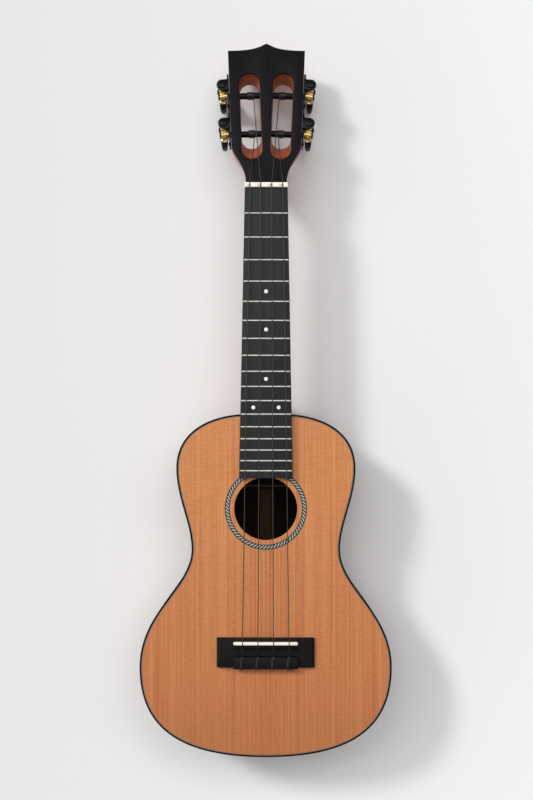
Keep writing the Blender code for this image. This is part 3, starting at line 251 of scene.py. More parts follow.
def rod(sides, radius, depth, location=(0, 0, 0), axis="z"):
    """A plain round rod along an axis."""
    turn = {"x": (0, math.pi / 2, 0), "y": (math.pi / 2, 0, 0), "z": (0, 0, 0)}[axis]
    bpy.ops.mesh.primitive_cylinder_add(vertices=sides, radius=radius, depth=depth,
                                        location=location, rotation=turn)
    bpy.ops.object.transform_apply(location=True, rotation=True, scale=True)
    return bpy.context.object


def flat_face(points):
    """One flat face through the given points, to be pulled into a solid."""
    bpy.ops.mesh.primitive_circle_add(vertices=len(points), radius=1, fill_type="NGON")
    piece = bpy.context.object
    for vertex, point in zip(piece.data.vertices, points):
        vertex.co = point
    return piece


def solid(points, x, y, z):
    """A flat face pulled straight into a solid."""
    flat_face(points)
    edit()
    pull(x, y, z)
    outward()
    return done()


def grow(rings):
    """A skin grown ring by ring: each one is pulled out of the last and set to its section."""
    piece = flat_face(rings[0])
    edit()
    shape = bmesh.from_edit_mesh(piece.data)
    order = shape.verts.layers.int.new("order")
    for index, vertex in enumerate(shape.verts):
        vertex[order] = index
    bmesh.update_edit_mesh(piece.data)
    for ring in rings[1:]:
        pull(0, 0, 0)
        shape = bmesh.from_edit_mesh(piece.data)
        order = shape.verts.layers.int["order"]
        for vertex in shape.verts:
            if vertex.select:
                vertex.co = ring[vertex[order]]
        bmesh.update_edit_mesh(piece.data)
    outward()
    return done()


def lathe(profile, steps=40):
    """A profile of (radius, height), spun about z as on a lathe."""
    bpy.ops.mesh.primitive_circle_add(vertices=len(profile), radius=1, fill_type="NOTHING")
    for vertex, (radius, height) in zip(bpy.context.object.data.vertices, profile):
        vertex.co = (radius, 0, height)
    edit()
    last = len(profile) - 1
    pick("edges", lambda edge: {vertex.index for vertex in edge.verts} == {0, last})
    bpy.ops.mesh.delete(type="EDGE")
    bpy.ops.mesh.select_all(action="SELECT")
    bpy.ops.mesh.spin(steps=steps, angle=2 * math.pi, center=(0, 0, 0), axis=(0, 0, 1))
    outward()
    return done()


def cord(points):
    """A string laid along points, with closed ends."""
    bpy.ops.curve.primitive_nurbs_path_add()
    piece = bpy.context.object
    curve = piece.data
    curve.splines.remove(curve.splines[0])
    spline = curve.splines.new("POLY")
    spline.points.add(len(points) - 1)
    for point, place in zip(spline.points, points):
        point.co = (*place, 1)
    curve.bevel_depth = STRING_RADIUS
    curve.bevel_resolution = 3
    curve.use_fill_caps = True
    only(piece)
    bpy.ops.object.convert(target="MESH")
    edit()
    outward()
    return done()


def flowing(points, steps):
    """More points along a smooth line through the given ones."""
    points = [Vector(point) for point in points]
    ends = [points[0] * 2 - points[1], *points, points[-1] * 2 - points[-2]]
    line = []
    for a, b, c, d in zip(ends, ends[1:], ends[2:], ends[3:]):
        for step in range(steps):
            t = step / steps
            line.append(0.5 * ((2 * b) + (c - a) * t + (2 * a - 5 * b + 4 * c - d) * t ** 2
                               + (3 * b - a - 3 * c + d) * t ** 3))
    return line + [points[-1]]


def from_frame(name):
    """A worked-over copy of a CAD node: merged, with flat faces made whole again."""
    copy = twin(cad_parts[name])
    copy.parent = None
    for key in list(copy.keys()):
        del copy[key]
    edit()
    bpy.ops.mesh.remove_doubles(threshold=1e-6)
    bpy.ops.mesh.dissolve_limited(angle_limit=math.radians(1))
    return done()


def refined(node, finish, width, body):
    """A CAD node's shape with its edges eased, shown in its place."""
    piece = soften(from_frame(node), width)
    settle(piece, node + "_finished", finish, node, body, Matrix())


# Colours and finishes

def colour(code):
    """An sRGB hex colour as the linear values that a shader takes."""
    parts = [int(code[place:place + 2], 16) / 255 for place in (1, 3, 5)]
    return [part / 12.92 if part <= 0.04045 else ((part + 0.055) / 1.055) ** 2.4
            for part in parts] + [1]


def cells(*sizes):
    """The scale that gives a pattern cells of these sizes in mm along x, y and z."""
    return [1 / (size * MM) for size in sizes]


def grained(along, long, short):
    """Cells that are long in the axes of the grain and short across it."""
    return cells(*(long if axis in along else short for axis in "xyz"))


def add(tree, kind, inputs=None, out=None, stops=(), **settings):
    """Adds a node with its settings. Inputs are sockets, values or hex colours, stops are the
    places and colours of a ramp, and the result is the socket that feeds the next node."""
    node = tree.nodes.new("ShaderNode" + kind)
    for name, value in settings.items():
        setattr(node, name, value)
    for key, value in (inputs or {}).items():
        socket = next(item for place, item in enumerate(node.inputs)
                      if key == place or (key == item.name and item.enabled))
        if isinstance(value, bpy.types.NodeSocket):
            tree.links.new(value, socket)
        else:
            socket.default_value = colour(value) if isinstance(value, str) else value
    for place, (at, code) in enumerate(stops):
        band = node.color_ramp.elements
        stop = band[place] if place < 2 else band.new(at)
        stop.position, stop.color = at, colour(code)
    return node.outputs[out] if out else next(item for item in node.outputs if item.enabled)


def finish_named(name, **plain):
    """A new finish: the material, its nodes and where its pattern is read. Values in plain are
    the same all over the surface."""
    made = bpy.data.materials.new(name)
    made.use_nodes = True
    tree = made.node_tree
    for key, value in plain.items():
        tree.nodes["Principled BSDF"].inputs[key.replace("_", " ")].default_value = value
    return made, tree, add(tree, "TexCoord", out="Object")


def fed(made, **patterns):
    """The finish with patterns fed to its shader."""
    tree = made.node_tree
    for key, socket in patterns.items():
        tree.links.new(socket, tree.nodes["Principled BSDF"].inputs[key.replace("_", " ")])
    return made


def cedar_finish():
    """Western red cedar, quarter sawn and book matched, under thin satin lacquer. To the eye:
    straight growth lines close together, a little silk across them, redder flecks by the joint
    in the middle, and a tone that deepens toward the tail, partly the wood's own and partly
    painted shade. The growth lines of real cedar are 0.5 to 1 mm apart, and are drawn at 0.62 mm."""
    made, tree, at = finish_named("western_red_cedar", IOR=1.48, Specular_IOR_Level=0.25)
    across = add(tree, "SeparateXYZ", {"Vector": at}, "X")
    along = add(tree, "SeparateXYZ", {"Vector": at}, "Y")
    folded = add(tree, "VectorMath", {0: at}, operation="ABSOLUTE")
    reach = add(tree, "MapRange", {"Value": along, "From Min": -0.146, "From Max": 0.146})
    # The tone darkens toward the tail: partly the wood's own tone, partly painted shade.
    tone = add(tree, "ValToRGB", {0: reach}, stops=(
        (0.0, "#BC7A4B"), (1.0, "#D9945D"), (0.1, "#C07C4D"), (0.26, "#C98352"),
        (0.55, "#D08A58"), (0.8, "#D8925B")))
    fine = add(tree, "Mapping", {"Vector": folded, "Scale": cells(0.62, 140, 140)})
    lines = add(tree, "TexNoise", {"Vector": fine, "Scale": 1.0, "Detail": 1.5, "Roughness": 0.6})
    wide = add(tree, "Mapping", {"Vector": folded, "Scale": cells(4.3, 320, 320)})
    streaks = add(tree, "TexNoise", {"Vector": wide, "Scale": 1.0, "Roughness": 0.55})
    short = add(tree, "Mapping", {"Vector": at, "Scale": cells(6, 0.95, 6)})
    silk = add(tree, "TexNoise", {"Vector": short, "Scale": 1.0, "Detail": 1.0})
    silky = add(tree, "Math", {0: silk, 1: 0.45}, operation="MULTIPLY")
    grain = add(tree, "Math", {0: streaks, 1: 0.28, 2: silky}, operation="MULTIPLY_ADD")
    grain = add(tree, "Math", {0: lines, 1: 1.1, 2: grain}, operation="MULTIPLY_ADD")
    spread = add(tree, "MapRange", {"Value": grain, "From Min": 0.66, "From Max": 1.17})
    shade = add(tree, "ValToRGB", {0: spread}, stops=((0.0, "#E2CBBB"), (1.0, "#FFFFFF")))
    lined = add(tree, "Mix", {"Factor": 1.0, "A": tone, "B": shade}, data_type="RGBA",
                blend_type="MULTIPLY")
    off = add(tree, "Math", {0: across}, operation="ABSOLUTE")
    near = add(tree, "MapRange", {"Value": off, "From Min": 0.004, "From Max": 0.024,
                                  "To Min": 0.25, "To Max": 0.0})
    thin = add(tree, "Mapping", {"Vector": at, "Scale": cells(1.6, 30, 30)})
    fleck = add(tree, "TexNoise", {"Vector": thin, "Scale": 1.0, "Roughness": 0.6})
    clear = add(tree, "MapRange", {"Value": fleck, "From Min": 0.45, "From Max": 0.65})
    red = add(tree, "Math", {0: near, 1: clear}, operation="MULTIPLY")
    warm = add(tree, "Mix", {"Factor": red, "A": lined, "B": "#C0582B"}, data_type="RGBA")
    joint = add(tree, "MapRange", {"Value": off, "From Min": 0.0001, "From Max": 0.0005,
                                   "To Min": 0.35, "To Max": 0.0})
    seamed = add(tree, "Mix", {"Factor": joint, "A": warm, "B": "#5E2A16"}, data_type="RGBA")
    gloss = add(tree, "MapRange", {"Value": lines, "From Min": 0.35, "From Max": 0.65,
                                   "To Min": 0.44, "To Max": 0.52})
    relief = add(tree, "Bump", {"Height": lines, "Strength": 0.3, "Distance": 0.02 * MM})
    return fed(made, Base_Color=seamed, Roughness=gloss, Normal=relief)


def mahogany_finish(name, along, tones, rough=0.4, painted_shade_above=None):
    """Mahogany, planed and satin lacquered. To the eye: short dark pores along the grain and
    broad ribbons of lighter and darker brown. along names the axes that the pores run in. A face
    that is turned in, above a height, is bare, and its colour is painted shade, near black."""
    made, tree, at = finish_named(name, IOR=1.5, Specular_IOR_Level=0.25)
    wide = add(tree, "Mapping", {"Vector": at, "Scale": grained(along, 90, 9)})
    ribbon = add(tree, "TexNoise", {"Vector": wide, "Scale": 1.0, "Detail": 3.0, "Roughness": 0.55})
    fine = add(tree, "Mapping", {"Vector": at, "Scale": grained(along, 7, 0.45)})
    pores = add(tree, "TexNoise", {"Vector": fine, "Scale": 1.0, "Roughness": 0.6})
    base = add(tree, "ValToRGB", {0: ribbon}, stops=tuple(zip((0.3, 0.7, 0.5), tones)))
    share = add(tree, "MapRange", {"Value": pores, "From Min": 0.56, "From Max": 0.7,
                                   "To Max": 0.7})
    base = add(tree, "Mix", {"Factor": share, "A": base, "B": "#7A4030"}, data_type="RGBA",
               blend_type="MULTIPLY")
    gloss = add(tree, "MapRange", {"Value": pores, "From Min": 0.5, "From Max": 0.7,
                                   "To Min": rough - 0.04, "To Max": rough + 0.1})
    # Painted shade: the face turned in to the body is coloured near black, for the dark inside.
    if painted_shade_above is not None:
        height = add(tree, "SeparateXYZ", {"Vector": at}, "Z")
        inside = add(tree, "Math", {0: height, 1: painted_shade_above}, operation="GREATER_THAN")
        gloss = add(tree, "Math", {0: gloss, 1: inside}, operation="MAXIMUM")
        base = add(tree, "Mix", {"Factor": inside, "A": base, "B": "#1A100B"}, data_type="RGBA")
    hollow = add(tree, "MapRange", {"Value": pores, "From Min": 0.56, "From Max": 0.72,
                                    "To Min": 1.0, "To Max": 0.0})
    relief = add(tree, "Bump", {"Height": hollow, "Strength": 0.5, "Distance": 0.03 * MM})
    return fed(made, Base_Color=base, Roughness=gloss, Normal=relief)


def spruce_finish(name, tones, crest=None):
    """Spruce, split and chiselled. To the eye: dull brown, faint year lines. The tones given are
    darkened as painted shade for the inside of the body. A brace has a painted highlight, a paler
    line along its crest, which lies at a place along y."""
    made, tree, at = finish_named(name, Roughness=0.8, IOR=1.45, Specular_IOR_Level=0.1)
    fine = add(tree, "Mapping", {"Vector": at, "Scale": cells(60, 60, 1.2)})
    lines = add(tree, "TexNoise", {"Vector": fine, "Scale": 1.0})
    base = add(tree, "ValToRGB", {0: lines}, stops=tuple(zip((0.35, 0.65), tones)))
    # Painted highlight: a paler line along the brace's crest, for its lit top edge.
    if crest is not None:
        along = add(tree, "SeparateXYZ", {"Vector": at}, "Y")
        past = add(tree, "Math", {0: along, 1: crest}, operation="SUBTRACT")
        off = add(tree, "Math", {0: past}, operation="ABSOLUTE")
        painted_highlight = add(tree, "MapRange", {"Value": off, "From Min": 0.0004, "From Max": 0.0009,
                                        "To Min": 0.8, "To Max": 0.0})
        base = add(tree, "Mix", {"Factor": painted_highlight, "A": base, "B": "#6A5442"}, data_type="RGBA")
    relief = add(tree, "Bump", {"Height": lines, "Strength": 0.4, "Distance": 0.03 * MM})
    return fed(made, Base_Color=base, Normal=relief)


def dark_wood_finish(name, along, tones, shine):
    """Close-grained hardwood dyed black and rubbed with oil. To the eye: near black, with fine
    open pores that catch a little light. along names the axis of the grain."""
    made, tree, at = finish_named(name, IOR=1.5, Specular_IOR_Level=shine)
    fine = add(tree, "Mapping", {"Vector": at, "Scale": grained(along, 14, 0.5)})
    pores = add(tree, "TexNoise", {"Vector": fine, "Scale": 1.0, "Roughness": 0.6})
    wide = add(tree, "Mapping", {"Vector": at, "Scale": grained(along, 120, 8)})
    bands = add(tree, "TexNoise", {"Vector": wide, "Scale": 1.0})
    base = add(tree, "ValToRGB", {0: bands}, stops=tuple(zip((0.35, 0.65), tones)))
    share = add(tree, "MapRange", {"Value": pores, "From Min": 0.5, "From Max": 0.72,
                                   "To Max": 0.6})
    base = add(tree, "Mix", {"Factor": share, "A": base, "B": tones[2]}, data_type="RGBA")
    gloss = add(tree, "MapRange", {"Value": pores, "From Min": 0.4, "From Max": 0.7,
                                   "To Min": 0.5, "To Max": 0.63})
    relief = add(tree, "Bump", {"Height": pores, "Strength": 0.4, "Distance": 0.015 * MM})
    return fed(made, Base_Color=base, Roughness=gloss, Normal=relief)


def rosette_finish():
    """Marquetry of dyed and plain wood strips, glued and sanded flush. To the eye: a rope of
    slanted black and pale strands, 72 to the round, between two black rims edged in grey."""
    made, tree, at = finish_named("rope_marquetry", Roughness=0.42, IOR=1.5,
                                  Specular_IOR_Level=0.35)
    middle = BODY @ Vector((0, HOLE_AT, 0))
    local = add(tree, "VectorMath", {0: at, 1: middle}, operation="SUBTRACT")
    x = add(tree, "SeparateXYZ", {"Vector": local}, "X")
    y = add(tree, "SeparateXYZ", {"Vector": local}, "Y")
    level = add(tree, "CombineXYZ", {"X": x, "Y": y})
    flat = add(tree, "VectorMath", {0: level}, "Value", operation="LENGTH")
    centre = (ROSETTE_INNER + ROSETTE_OUTER) / 2
    out = add(tree, "Math", {0: flat, 1: centre}, operation="SUBTRACT")
    per_turn = ROPE_STRANDS / (2 * math.pi)
    lean = add(tree, "Math", {0: out, 1: per_turn / centre}, operation="MULTIPLY")
    turn = add(tree, "Math", {0: y, 1: x}, operation="ARCTAN2")
    phase = add(tree, "Math", {0: turn, 1: per_turn, 2: lean}, operation="MULTIPLY_ADD")
    part = add(tree, "Math", {0: phase}, operation="FRACT")
    strand = add(tree, "ValToRGB", {0: part}, stops=(
        (0.0, "#0C0B0A"), (0.96, "#BDB9AE"), (0.54, "#0A0908"), (0.64, "#BDB9AE")))
    away = add(tree, "Math", {0: out}, operation="ABSOLUTE")
    rim = add(tree, "MapRange", {"Value": away, "From Min": 0.0012, "From Max": 0.0013})
    inlaid = add(tree, "Mix", {"Factor": rim, "A": strand, "B": "#26241F"}, data_type="RGBA")
    edge = add(tree, "MapRange", {"Value": away, "From Min": 0.00195, "From Max": 0.00205})
    edged = add(tree, "Mix", {"Factor": edge, "A": inlaid, "B": "#77736A"}, data_type="RGBA")
    return fed(made, Base_Color=edged)


def plastic_finish(name, code, rough, **more):
    """Plastic or pearl, moulded or scraped flush. To the eye: an even colour, with a fine
    unevenness that breaks its shine."""
    made, tree, at = finish_named(name, IOR=1.5, **more)
    fine = add(tree, "Mapping", {"Vector": at, "Scale": cells(3, 3, 3)})
    uneven = add(tree, "TexNoise", {"Vector": fine, "Scale": 1.0, "Detail": 3.0, "Roughness": 0.6})
    share = add(tree, "MapRange", {"Value": uneven, "From Min": 0.3, "From Max": 0.7,
                                   "To Max": 0.04})
    tone = add(tree, "Mix", {"Factor": share, "A": code, "B": "#808080"}, data_type="RGBA")
    gloss = add(tree, "MapRange", {"Value": uneven, "From Min": 0.3, "From Max": 0.7,
                                   "To Min": rough - 0.04, "To Max": rough + 0.05})
    return fed(made, Base_Color=tone, Roughness=gloss)


def bone_finish():
    """Bleached bone, sawn and polished. To the eye: warm ivory, faint streaks along its length."""
    made, tree, at = finish_named("polished_bone", IOR=1.54, Roughness=0.3)
    fine = add(tree, "Mapping", {"Vector": at, "Scale": cells(6, 0.7, 0.7)})
    streaks = add(tree, "TexNoise", {"Vector": fine, "Scale": 1.0, "Roughness": 0.6})
    return fed(made, Base_Color=add(tree, "ValToRGB", {0: streaks},
                                    stops=((0.35, "#FFFBEC"), (0.7, "#F5EDD6"))))


def metal_finish(name, light, dark, rough, brushing):
    """Metal, drawn, turned or plated. To the eye: fine brushing that spreads the shine, duller
    where it is darker. brushing is the size of its marks in mm."""
    made, tree, at = finish_named(name, Metallic=1.0)
    fine = add(tree, "Mapping", {"Vector": at, "Scale": cells(*brushing)})
    marks = add(tree, "TexNoise", {"Vector": fine, "Scale": 1.0, "Roughness": 0.6})
    tone = add(tree, "ValToRGB", {0: marks}, stops=((0.3, dark), (0.6, light)))
    gloss = add(tree, "MapRange", {"Value": marks, "From Min": 0.3, "From Max": 0.7,
                                   "To Min": rough - 0.06, "To Max": rough + 0.08})
    return fed(made, Base_Color=tone, Roughness=gloss)


def string_finish():
    """Fluorocarbon string, drawn: dark brown, smooth and glossy, a little lighter in places."""
    made, tree, at = finish_named("fluorocarbon_string", IOR=1.6, Roughness=0.42)
    wide = add(tree, "Mapping", {"Vector": at, "Scale": cells(4, 4, 4)})
    tone = add(tree, "TexNoise", {"Vector": wide, "Scale": 1.0})
    return fed(made, Base_Color=add(tree, "ValToRGB", {0: tone},
                                    stops=((0.3, "#141110"), (0.7, "#231D1B"))))


CEDAR = cedar_finish()
# The back plate's inside face is painted shade.
MAHOGANY_BACK = mahogany_finish("mahogany_back", "y", ("#6E3A22", "#5C2E1B", "#84492C"), 0.35,
                                0.0012)
MAHOGANY_SIDES = mahogany_finish("mahogany_sides", "xy", ("#653825", "#532C1D", "#7A472F"), 0.25)
MAHOGANY_NECK = mahogany_finish("mahogany_neck", "y", ("#93461F", "#80391A", "#A85122"))
# The inside spruce's dark tones are painted shade.
SPRUCE = spruce_finish("spruce_painted_shade", ("#4A3829", "#3A2B1F"))
EBONY_BOARD = dark_wood_finish("ebonised_fingerboard", "y", ("#1F1F20", "#282829", "#333333"), 0.2)
EBONY_HEAD = dark_wood_finish("black_head_veneer", "y", ("#0D0D10", "#121216", "#1A1A1F"), 0.1)
EBONY_BRIDGE = dark_wood_finish("ebonised_bridge", "x", ("#0B0B0C", "#111113", "#1C1C1D"), 0.12)
ROPE = rosette_finish()
BLACK_BINDING = plastic_finish("black_abs_binding", "#090605", 0.35, Specular_IOR_Level=0.05)
PALE_PURFLING = plastic_finish("grey_fibre_purfling", "#8F857A", 0.5)
DARK_PURFLING = plastic_finish("brown_fibre_purfling", "#5E3B27", 0.5)
BUTTON_BLACK = plastic_finish("black_moulded_button", "#060607", 0.3, Specular_IOR_Level=0.2)
PEARL = plastic_finish("white_pearl_dot", "#F4F3F2", 0.25)
BONE = bone_finish()
STRING_DARK = string_finish()
NICKEL = metal_finish("nickel_silver_fret", "#EBE9E2", "#D6D4CC", 0.45, (0.3, 5, 5))
BLACK_STEEL = metal_finish("black_plated_steel", "#242426", "#18181A", 0.36, (5, 0.3, 5))
GOLD = metal_finish("gold_plated_brass", "#E2CA8A", "#C6A661", 0.3, (3, 3, 3))
STEEL = metal_finish("turned_steel", "#8C8A86", "#6F6D6A", 0.35, (3, 3, 0.3))


# Body

def body_face(inset):
    """The body's outline as one flat face at z = 0, drawn in by an inset."""
    bpy.ops.curve.primitive_bezier_circle_add()
    curve = bpy.context.object.data
    curve.dimensions = "2D"
    curve.fill_mode = "NONE"
    curve.resolution_u = 32
    knots = [tuple(Vector((*value, 0)) for value in knot) for knot in KNOTS]
    flip = Matrix.Diagonal((-1, 1, 1))
    knots += [(flip @ at, flip @ after, flip @ before) for at, before, after in knots[-2::-1]]
    spline = curve.splines[0]
    spline.bezier_points.add(len(knots) - len(spline.bezier_points))
    for point, (at, before, after) in zip(spline.bezier_points, knots):
        point.handle_left_type = point.handle_right_type = "FREE"
        point.co, point.handle_left, point.handle_right = at, at + before, at + after
    bpy.ops.object.convert(target="MESH")
    edit()
    bpy.ops.mesh.remove_doubles(threshold=1e-6)
    bpy.ops.mesh.edge_face_add()
    if inset:
        bpy.ops.mesh.select_mode(type="VERT")
        bpy.ops.mesh.inset(thickness=inset)
        bpy.ops.mesh.select_all(action="INVERT")
        bpy.ops.mesh.delete(type="VERT")
    return done()


def thicken(width, depth):
    """In edit mode, pulls the flat face down by a depth, or only a rim of it of this width."""
    if width:
        bpy.ops.mesh.inset(thickness=width)
        bpy.ops.mesh.delete(type="ONLY_FACE")
        bpy.ops.mesh.select_all(action="SELECT")
    pull(0, 0, -depth)
    outward()
    return done()


def body_solid(outer, inner, low, high):
    """A plate of the body's outline, or a strip of it between two insets."""
    body_face(outer)
    edit()
    bpy.ops.transform.translate(value=(0, 0, high))
    return thicken(inner and inner - outer, high - low)


def ring(outer, inner, low, high):
    """A flat ring round the soundhole."""
    bpy.ops.mesh.primitive_circle_add(vertices=128, radius=outer, fill_type="NGON",
                                      location=(0, HOLE_AT, high))
    bpy.ops.object.transform_apply(location=True)
    edit()
    return thicken(outer - inner, high - low)


def follow_back(piece):
    """Slopes the lower half of a piece with the back, which falls away toward the tail."""
    for vertex in piece.data.vertices:
        if vertex.co.z < -BODY_DEPTH / 2:
            vertex.co.z += TAPER * vertex.co.y
    return piece


def make_soundboard():
    board = body_solid(BINDING_WIDTH + LIGHT_LINE + DARK_LINE, 0, -TOP_THICKNESS, 0)
    cut(board, rod(128, HOLE_RADIUS, 0.02, (0, HOLE_AT, 0)))
    cut(board, ring(ROSETTE_OUTER, ROSETTE_INNER, -ROSETTE_DEPTH, 0.002))
    only(board)
    edit()
    hole = Vector((0, HOLE_AT))

    def on_rim(edge):
        return all(abs(vertex.co.z) < 1e-6
                   and abs((vertex.co.xy - hole).length - HOLE_RADIUS) < 5e-5
                   for vertex in edge.verts)

    pick("edges", on_rim)
    bpy.ops.mesh.bevel(offset=0.0004, segments=3)
    done()
    settle(board, "cedar_top", CEDAR, "soundboard")
    rope = ring(ROSETTE_OUTER, ROSETTE_INNER, -ROSETTE_DEPTH, 0)
    settle(rope, "rope_rosette", ROPE, "rosette")


def make_rim():
    edge = soften(body_solid(0, BINDING_WIDTH, -BINDING_HEIGHT, 0), 0.00025, 3)
    settle(edge, "top_binding", BLACK_BINDING, "binding_top")
    start = BINDING_WIDTH
    for name, width, finish in (("light_purfling", LIGHT_LINE, PALE_PURFLING),
                                ("dark_purfling", DARK_LINE, DARK_PURFLING)):
        line = body_solid(start, start + width, -TOP_THICKNESS, 0)
        settle(line, name, finish)
        start += width
    low = -BODY_DEPTH
    edge = soften(body_solid(0, BINDING_WIDTH, low, low + BINDING_HEIGHT), 0.0004, 3)
    settle(follow_back(edge), "back_binding", BLACK_BINDING, "binding_back")
    back = follow_back(body_solid(BINDING_WIDTH, 0, low, low + BACK_THICKNESS))
    settle(back, "mahogany_back_plate", MAHOGANY_BACK, "back")
    wall = follow_back(body_solid(0, SIDE_THICKNESS, low + BINDING_HEIGHT, -BINDING_HEIGHT))
    other = twin(wall)
    for half, way, name in ((wall, 1, "right"), (other, -1, "left")):
        only(half)
        edit()
        halved((way, 0, 0))
        settle(half, "bent_side_" + name, MAHOGANY_SIDES, "side_" + name)


# Neck and head

def board_half(y):
    return BOARD_HALF_NUT + (BOARD_HALF_BODY - BOARD_HALF_NUT) * (NUT_AT - y) / NUT_AT


def head_plane(y, depth):
    return -HEAD_DROP - depth / math.cos(HEAD_TILT) - (y - HEAD_AT) * math.tan(HEAD_TILT)


def flare(share):
    """The cheek's curve in the head's frame: half width, and distance along the head."""
    knots = ((THROAT_HALF, 0), (THROAT_HALF + 0.0001, 0.017),
             (CHEEK_HALF - 0.0004, CHEEK_AT - 0.0066), (CHEEK_HALF, CHEEK_AT))
    rest = 1 - share
    weights = (rest ** 3, 3 * rest ** 2 * share, 3 * rest * share ** 2, share ** 3)
    return [sum(weight * knot[axis] for weight, knot in zip(weights, knots)) for axis in (0, 1)]


def heel_half(y, down):
    low = SHAFT_BODY + HEEL_SWEEP
    reach = HEEL_LENGTH
    if down < low:
        share = min(1.0, (low - down) / HEEL_SWEEP)
        reach += HEEL_SWEEP * (1 - math.sqrt(1 - share ** 2))
    if y >= reach:
        return 0.0
    widen = max(0.0, 1 - down / BODY_DEPTH) * (BOARD_HALF_BODY - HEEL_HALF) * 0.6
    return (HEEL_HALF + widen) * math.sqrt(1 - (y / reach) ** 2)


def heel_depth(y):
    floor = BODY_DEPTH - TAPER * y - HEEL_CAP - 0.0002
    if y < HEEL_LENGTH:
        return floor
    share = min(1.0, (y - HEEL_LENGTH) / HEEL_SWEEP)
    return min(floor, SHAFT_BODY + HEEL_SWEEP - HEEL_SWEEP * math.sqrt(1 - (1 - share) ** 2))


def neck_ring(y, half, top, depth, fullness=2, heel=False):
    """Half an ellipse under the fingerboard, filling out to a box at the head."""
    shaft = SHAFT_BODY if heel else depth
    points = []
    for index in range(28):
        turn = math.pi / 2 * index / 27
        down = depth * math.sin(turn) ** (2 / fullness)
        width = half * max(0.0, 1 - (down / shaft) ** fullness) ** (1 / fullness)
        if heel:
            width = min(half, (width ** 3 + heel_half(y, down) ** 3) ** (1 / 3))
        points.append((width, y, top - down))
    return points + [(-x, at, z) for x, at, z in points[::-1]]


def make_neck():
    heel = [HEEL_GAP + (HEEL_LENGTH - HEEL_GAP) * math.sin(math.pi / 2 * step / 13)
            for step in range(13)]
    heel += [HEEL_LENGTH + HEEL_SWEEP * (1 - math.cos(math.pi / 2 * step / 24))
             for step in range(25)]
    rings = [neck_ring(y, board_half(y), 0, heel_depth(y), heel=True) for y in heel]
    start = HEEL_LENGTH + HEEL_SWEEP
    for step in range(1, 12):
        y = start + (NUT_AT - start) * step / 12
        depth = SHAFT_BODY + (SHAFT_NUT - SHAFT_BODY) * step / 12
        rings.append(neck_ring(y, board_half(y), 0, depth))
    rings.append(neck_ring(HEAD_AT - 0.0008, BOARD_HALF_NUT, 0, SHAFT_NUT))
    for step in range(25):
        share = step / 24
        half, along = flare(share)
        y = HEAD_AT + along * math.cos(HEAD_TILT)
        top = head_plane(y, VENEER)
        full = top - head_plane(y, HEAD_THICKNESS)
        rise = min(1.0, share / 0.68)
        rise = rise * rise * (3 - 2 * rise)
        deep = SHAFT_NUT + top + (full - SHAFT_NUT - top) * rise
        rings.append(neck_ring(y, half, top, deep, 2.5 + 27 * share ** 2))
    y = HEAD_AT + (HEAD_LENGTH + 2 * HEAD_PEAK) * math.cos(HEAD_TILT)
    half = TIP_HALF + 2 * HEAD_PEAK * math.tan(HEAD_LEAN)
    top = head_plane(y, VENEER)
    rings.append(neck_ring(y, half, top, top - head_plane(y, HEAD_THICKNESS), 29.5))
    neck = grow(rings)
    neck.data.transform(HEAD.inverted() @ BODY)
    above = 0.02
    waste = [(x, y, above) for x, y, z in head_tip()]
    waste += [(-0.08, HEAD_LENGTH, above), (-0.08, 0.2, above), (0.08, 0.2, above),
              (0.08, HEAD_LENGTH, above)]
    cut(neck, solid(waste, 0, 0, -0.06))
    for side in (1, -1):
        cut(neck, slot_tool(side))
    for string in STRINGS:
        place = (-POST_ROWS[string][0] * POST_BORE_AT, 0, 0)
        bore = rod(32, POST_RADIUS + 0.0003, POST_BORE, place, "x")
        bore.data.transform(HEAD.inverted() @ tuner_place(string))
        cut(neck, bore)
    soften(neck, 0.0004, 2, 50)
    settle(neck, "mahogany_neck", MAHOGANY_NECK, "neck", place=HEAD, smooth=35)


def head_tip():
    """The head's top edge from right to left, with its small point in the middle."""
    half = [(1, 0), (0.94, 0), (0.8, 0.012), (0.66, 0.05), (0.53, 0.12), (0.4, 0.22), (0.29, 0.36),
            (0.2, 0.52), (0.13, 0.68), (0.07, 0.85), (0, 1)]
    points = [(x * TIP_HALF, HEAD_LENGTH + y * HEAD_PEAK, 0) for x, y in half]
    line = [tuple(point) for point in flowing(points, 3)]
    return line + [(-x, y, z) for x, y, z in line[-2::-1]]


def slot_tool(side):
    """The slot's shape: round ends, narrower at the back, and a ramp at the nut end."""
    rings = []
    for depth in (-0.003, HEAD_THICKNESS + 0.003):
        share = depth / HEAD_THICKNESS
        width, start, end = (face + (back - face) * share
                             for face, back in zip(SLOT_FACE, SLOT_BACK))
        radius = width / 2
        middle = -RAIL_WIDTH - 0.0096
        points = []
        for centre, first in ((end - radius, 0), (start + radius, math.pi)):
            for step in range(17):
                turn = first + math.pi * step / 16
                points.append((side * (middle + radius * math.cos(turn)),
                               centre - CHEEK_AT + radius * math.sin(turn), -depth))
        rings.append(points)
    tool = grow(rings)
    tool.data.transform(HEAD.inverted() @ head_side(side))
    return tool


def make_headplate():
    cheek = [(THROAT_HALF, -0.0005)] + [flare(step / 24) for step in range(25)]
    outline = [(x, y, 0) for x, y in cheek] + head_tip() + [(-x, y, 0) for x, y in cheek[::-1]]
    plate = solid(outline, 0, 0, -VENEER + 0.0001)
    for side in (1, -1):
        cut(plate, slot_tool(side))
    soften(plate, 0.00035, 2, 50)
    settle(plate, "head_veneer", EBONY_HEAD, "headplate", place=HEAD, smooth=30)


def make_heel_cap():
    turns = [math.pi * step / 48 for step in range(49)]
    points = [(HEEL_HALF * math.cos(turn), HEEL_GAP + (HEEL_LENGTH - HEEL_GAP) * math.sin(turn),
               -BODY_DEPTH) for turn in turns]
    cap = soften(follow_back(solid(points, 0, 0, HEEL_CAP)), 0.0005, 3)
    settle(cap, "heel_cap_finished", EBONY_BRIDGE, "heel_cap")


def fret_at(number):
    return NUT_AT - SCALE_LENGTH * (1 - 2 ** (-number / 12))


